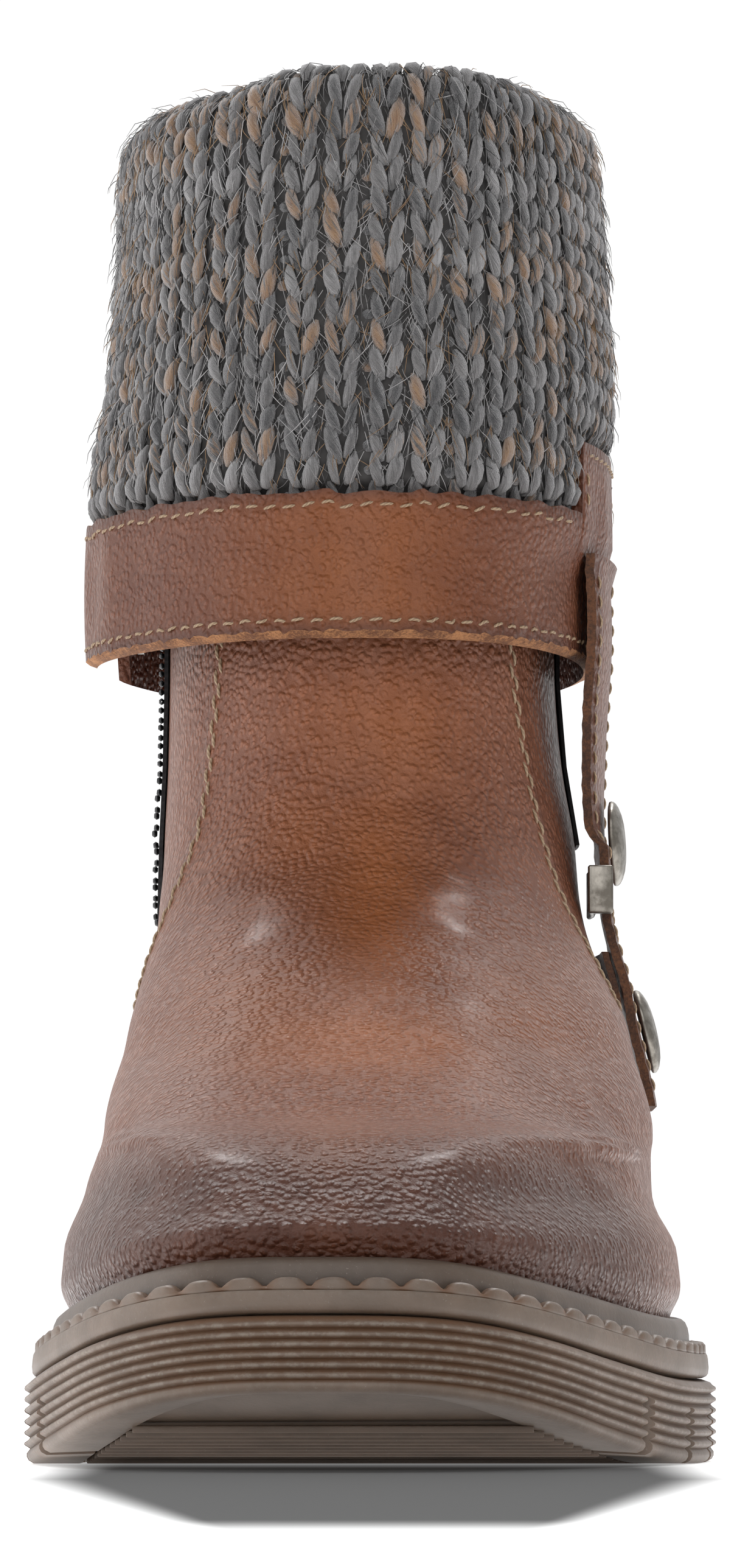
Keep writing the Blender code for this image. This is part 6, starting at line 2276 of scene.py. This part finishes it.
@dataclass
class Studio:
    """Camera at the photograph's place, soft boxes and a pale floor."""

    lens: float = 147.7
    camera_x: float = -0.0005
    camera_y: float = -1.065
    camera_z: float = 0.0145
    pitch: float = 5.20
    key: float = 2.0
    centre: float = 2.6
    front_high: float = 2.1
    left: float = 3.1
    right: float = 0.3
    back: float = 2.4
    sky_level: float = 1.03
    front_sky: float = 0.10
    top_dim: float = 0.12
    right_dim: float = 0.55
    glow: float = 0.62
    bounce: float = 0.13
    high: float = 6.0

    def camera(self) -> None:
        """The camera, low in front of the toe."""
        data = bpy.data.cameras.new("camera")
        data.lens = self.lens
        data.sensor_width = 36.0
        data.sensor_fit = "AUTO"
        data.clip_end = 20.0
        made = bpy.data.objects.new("camera", data)
        made.location = (self.camera_x, self.camera_y, self.camera_z)
        made.rotation_euler = (math.radians(90 + self.pitch), 0.0, 0.0)
        bpy.context.scene.collection.objects.link(made)
        bpy.context.scene.camera = made

    @staticmethod
    def light(name: str, at: Sequence[float], aim: Sequence[float], size: tuple[float, float],
              power: float) -> None:
        """A soft box that faces a point.

        Args:
            name: the lamp's name.
            at: its place.
            aim: the point that it faces.
            size: its width and height.
            power: its power in watts.
        """
        data = bpy.data.lights.new(name, "AREA")
        data.shape = "RECTANGLE"
        data.size, data.size_y = size
        data.energy = power
        made = bpy.data.objects.new(name, data)
        made.location = at
        made.rotation_mode = "QUATERNION"
        made.rotation_quaternion = (Vector(aim) - Vector(at)).to_track_quat("-Z", "Y")
        bpy.context.scene.collection.objects.link(made)

    def build(self) -> None:
        """Everything round the boot."""
        self.camera()
        scene = bpy.context.scene
        scene.view_settings.view_transform = "Standard"
        scene.view_settings.look = "None"
        self.sky()
        aim = (0.0, -0.03, 0.09)
        for name, at, size, power in (
                ("front_left_strip", (-0.42, -0.90, 0.75), (0.22, 1.25), self.key),
                ("front_right_strip", (0.42, -0.90, 0.75), (0.22, 1.25), self.key),
                ("front_centre_box", (-0.02, -1.50, 0.42), (0.30, 0.70), self.centre),
                ("front_high_box", (-0.08, -1.00, 1.05), (0.24, 0.90), self.front_high),
                ("left_wall_box", (-1.0, 0.05, 0.35), (0.8, 0.9), self.left),
                ("right_wall_box", (1.0, 0.05, 0.35), (0.8, 0.9), self.right),
                ("back_top_box", (0.0, 0.75, 1.05), (0.9, 0.6), self.back)):
            self.light(name, at, aim, size, power)
        for side in (-1, 1):
            self.light(f"high_strip_{side}", (side * 0.33, 0.54, 1.14), (0.0, -0.12, 0.045),
                       (0.12, 0.40), self.high)
        self.light("floor_bounce_box", (0.0, -0.20, 0.001), (0.0, -0.20, 1.0), (0.36, 0.22),
                   self.bounce)
        bpy.data.objects["floor_bounce_box"].visible_camera = False
        self.floor()

    def sky(self) -> None:
        """White surroundings, dim behind the camera, overhead and on the right."""
        made = Shader("studio", sky=True)
        at = made.node("ShaderNodeTexCoord", out="Generated")
        level, overhead, right = (
            made.ramp(made.node("ShaderNodeSeparateXYZ", {}, {"Vector": at}, out=axis),
                      start, end, low, high)
            for axis, start, end, low, high in (
                ("Y", -0.95, -0.10, self.front_sky, self.sky_level),
                ("Z", 0.66, 0.90, 1.0, self.top_dim),
                ("X", 0.25, 0.90, 1.0, self.right_dim)))
        bpy.context.scene.world = made.dress(Color=(1.0, 1.0, 1.0),
                                             Strength=level * overhead * right)

    def floor(self) -> None:
        """A pale floor that glows evenly, with the photograph's soft dark shade painted in front of
        the sole.
        """
        Bench.deselect()
        bpy.ops.mesh.primitive_grid_add(x_subdivisions=4, y_subdivisions=4, size=12.0)
        floor = bpy.context.object
        floor.name = "floor"
        made = Shader("pale_floor")
        x, y = made.axis("X"), made.axis("Y")
        # Painted shadow: a dark patch in front of the sole that fades sideways, towards the camera
        # and under the boot; it darkens both the floor's colour and its glow.
        far = made.ramp(y, -0.515, -0.435)
        wide = made.math("MINIMUM", made.math("MAXIMUM", 0.060 + 0.097 * y, 0.008), 0.040)
        off = made.math("ABSOLUTE", x) / wide
        near = 1 - made.ramp(off, 0.94, 1.38)
        ends = 1 - made.ramp(y, -0.12, 0.02)
        shade = near * far * ends * 0.985
        floor_colour_with_painted_shadow = made.mix(shade, (0.93, 0.93, 0.93), (0.008, 0.008, 0.008))
        glow = made.mix(shade, (1.0, 1.0, 1.0), (0.0, 0.0, 0.0))
        floor.data.materials.append(made.dress(
            Base_Color=floor_colour_with_painted_shadow, Roughness=0.9, Emission_Color=glow, Emission_Strength=self.glow))


def main() -> None:
    """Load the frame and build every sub-assembly."""
    logging.basicConfig(level=logging.INFO, format="%(message)s")
    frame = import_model()
    nodes = frame["nodes"]
    last = BootLast()
    form = CuffForm(last)
    upper_leather = Leather("cognac_upper", burnish_toe=True).material()
    trim_leather = Leather("cognac_trim", (0.118, 0.035, 0.0155), light=(0.162, 0.057, 0.028),
                           amber=(0.240, 0.074, 0.018)).material()
    edge = CutEdge("raw_edge").material()
    dark_edge = CutEdge("dark_edge", (0.13, 0.050, 0.020), (0.040, 0.016, 0.008)).material()
    thread = Thread("beige_thread").material()
    rubber = Rubber("smoky_rubber").material()
    # Darker copy of the rubber for the rand: partly its own darker rubber, partly painted shade on
    # its up-facing top.
    rand_rubber_darker_and_shaded = Rubber("smoky_rand", (0.088, 0.060, 0.043), deep=(0.052, 0.036, 0.026)).material()
    lining = Cloth("dark_lining").material()
    yarn = Yarn("marled_yarn").material()
    # Dark ground of the knit: painted shade where it shows between the stitches, and the black
    # lining inside the flap.
    ground = Cloth("knit_shadow", (0.022, 0.021, 0.021), (0.060, 0.057, 0.056), 0.0012).material()
    fibre = Fibre("loose_fibre").material()
    nickel = Metal("aged_nickel").material()
    gunmetal = Metal("dark_chain", (0.05, 0.05, 0.052), (0.02, 0.02, 0.02), 0.35).material()
    Studio().build()
    SoleUnit(last, rubber, rand_rubber_darker_and_shaded).build()
    Upper(last, upper_leather, lining, thread).build()
    KnitCollar(form, yarn, ground, fibre).build()
    CuffBand(form, trim_leather, edge, thread).build()
    SideStrap(form, trim_leather, dark_edge, thread, nickel, nodes).build()
    SideZip(gunmetal, nickel, nodes).build()
    dress_node(nodes["zip_tape"], Cloth("zip_tape_cloth", thread=0.0004).material())
    dress_node(nodes["elastic_gore"], Cloth("gore_cloth", thread=0.0009).material())
    dress_node(nodes["insole"], Cloth("sock_cloth", (0.05, 0.042, 0.036),
                                      (0.085, 0.072, 0.060), 0.0006).material())


if __name__ == "__main__":
    main()
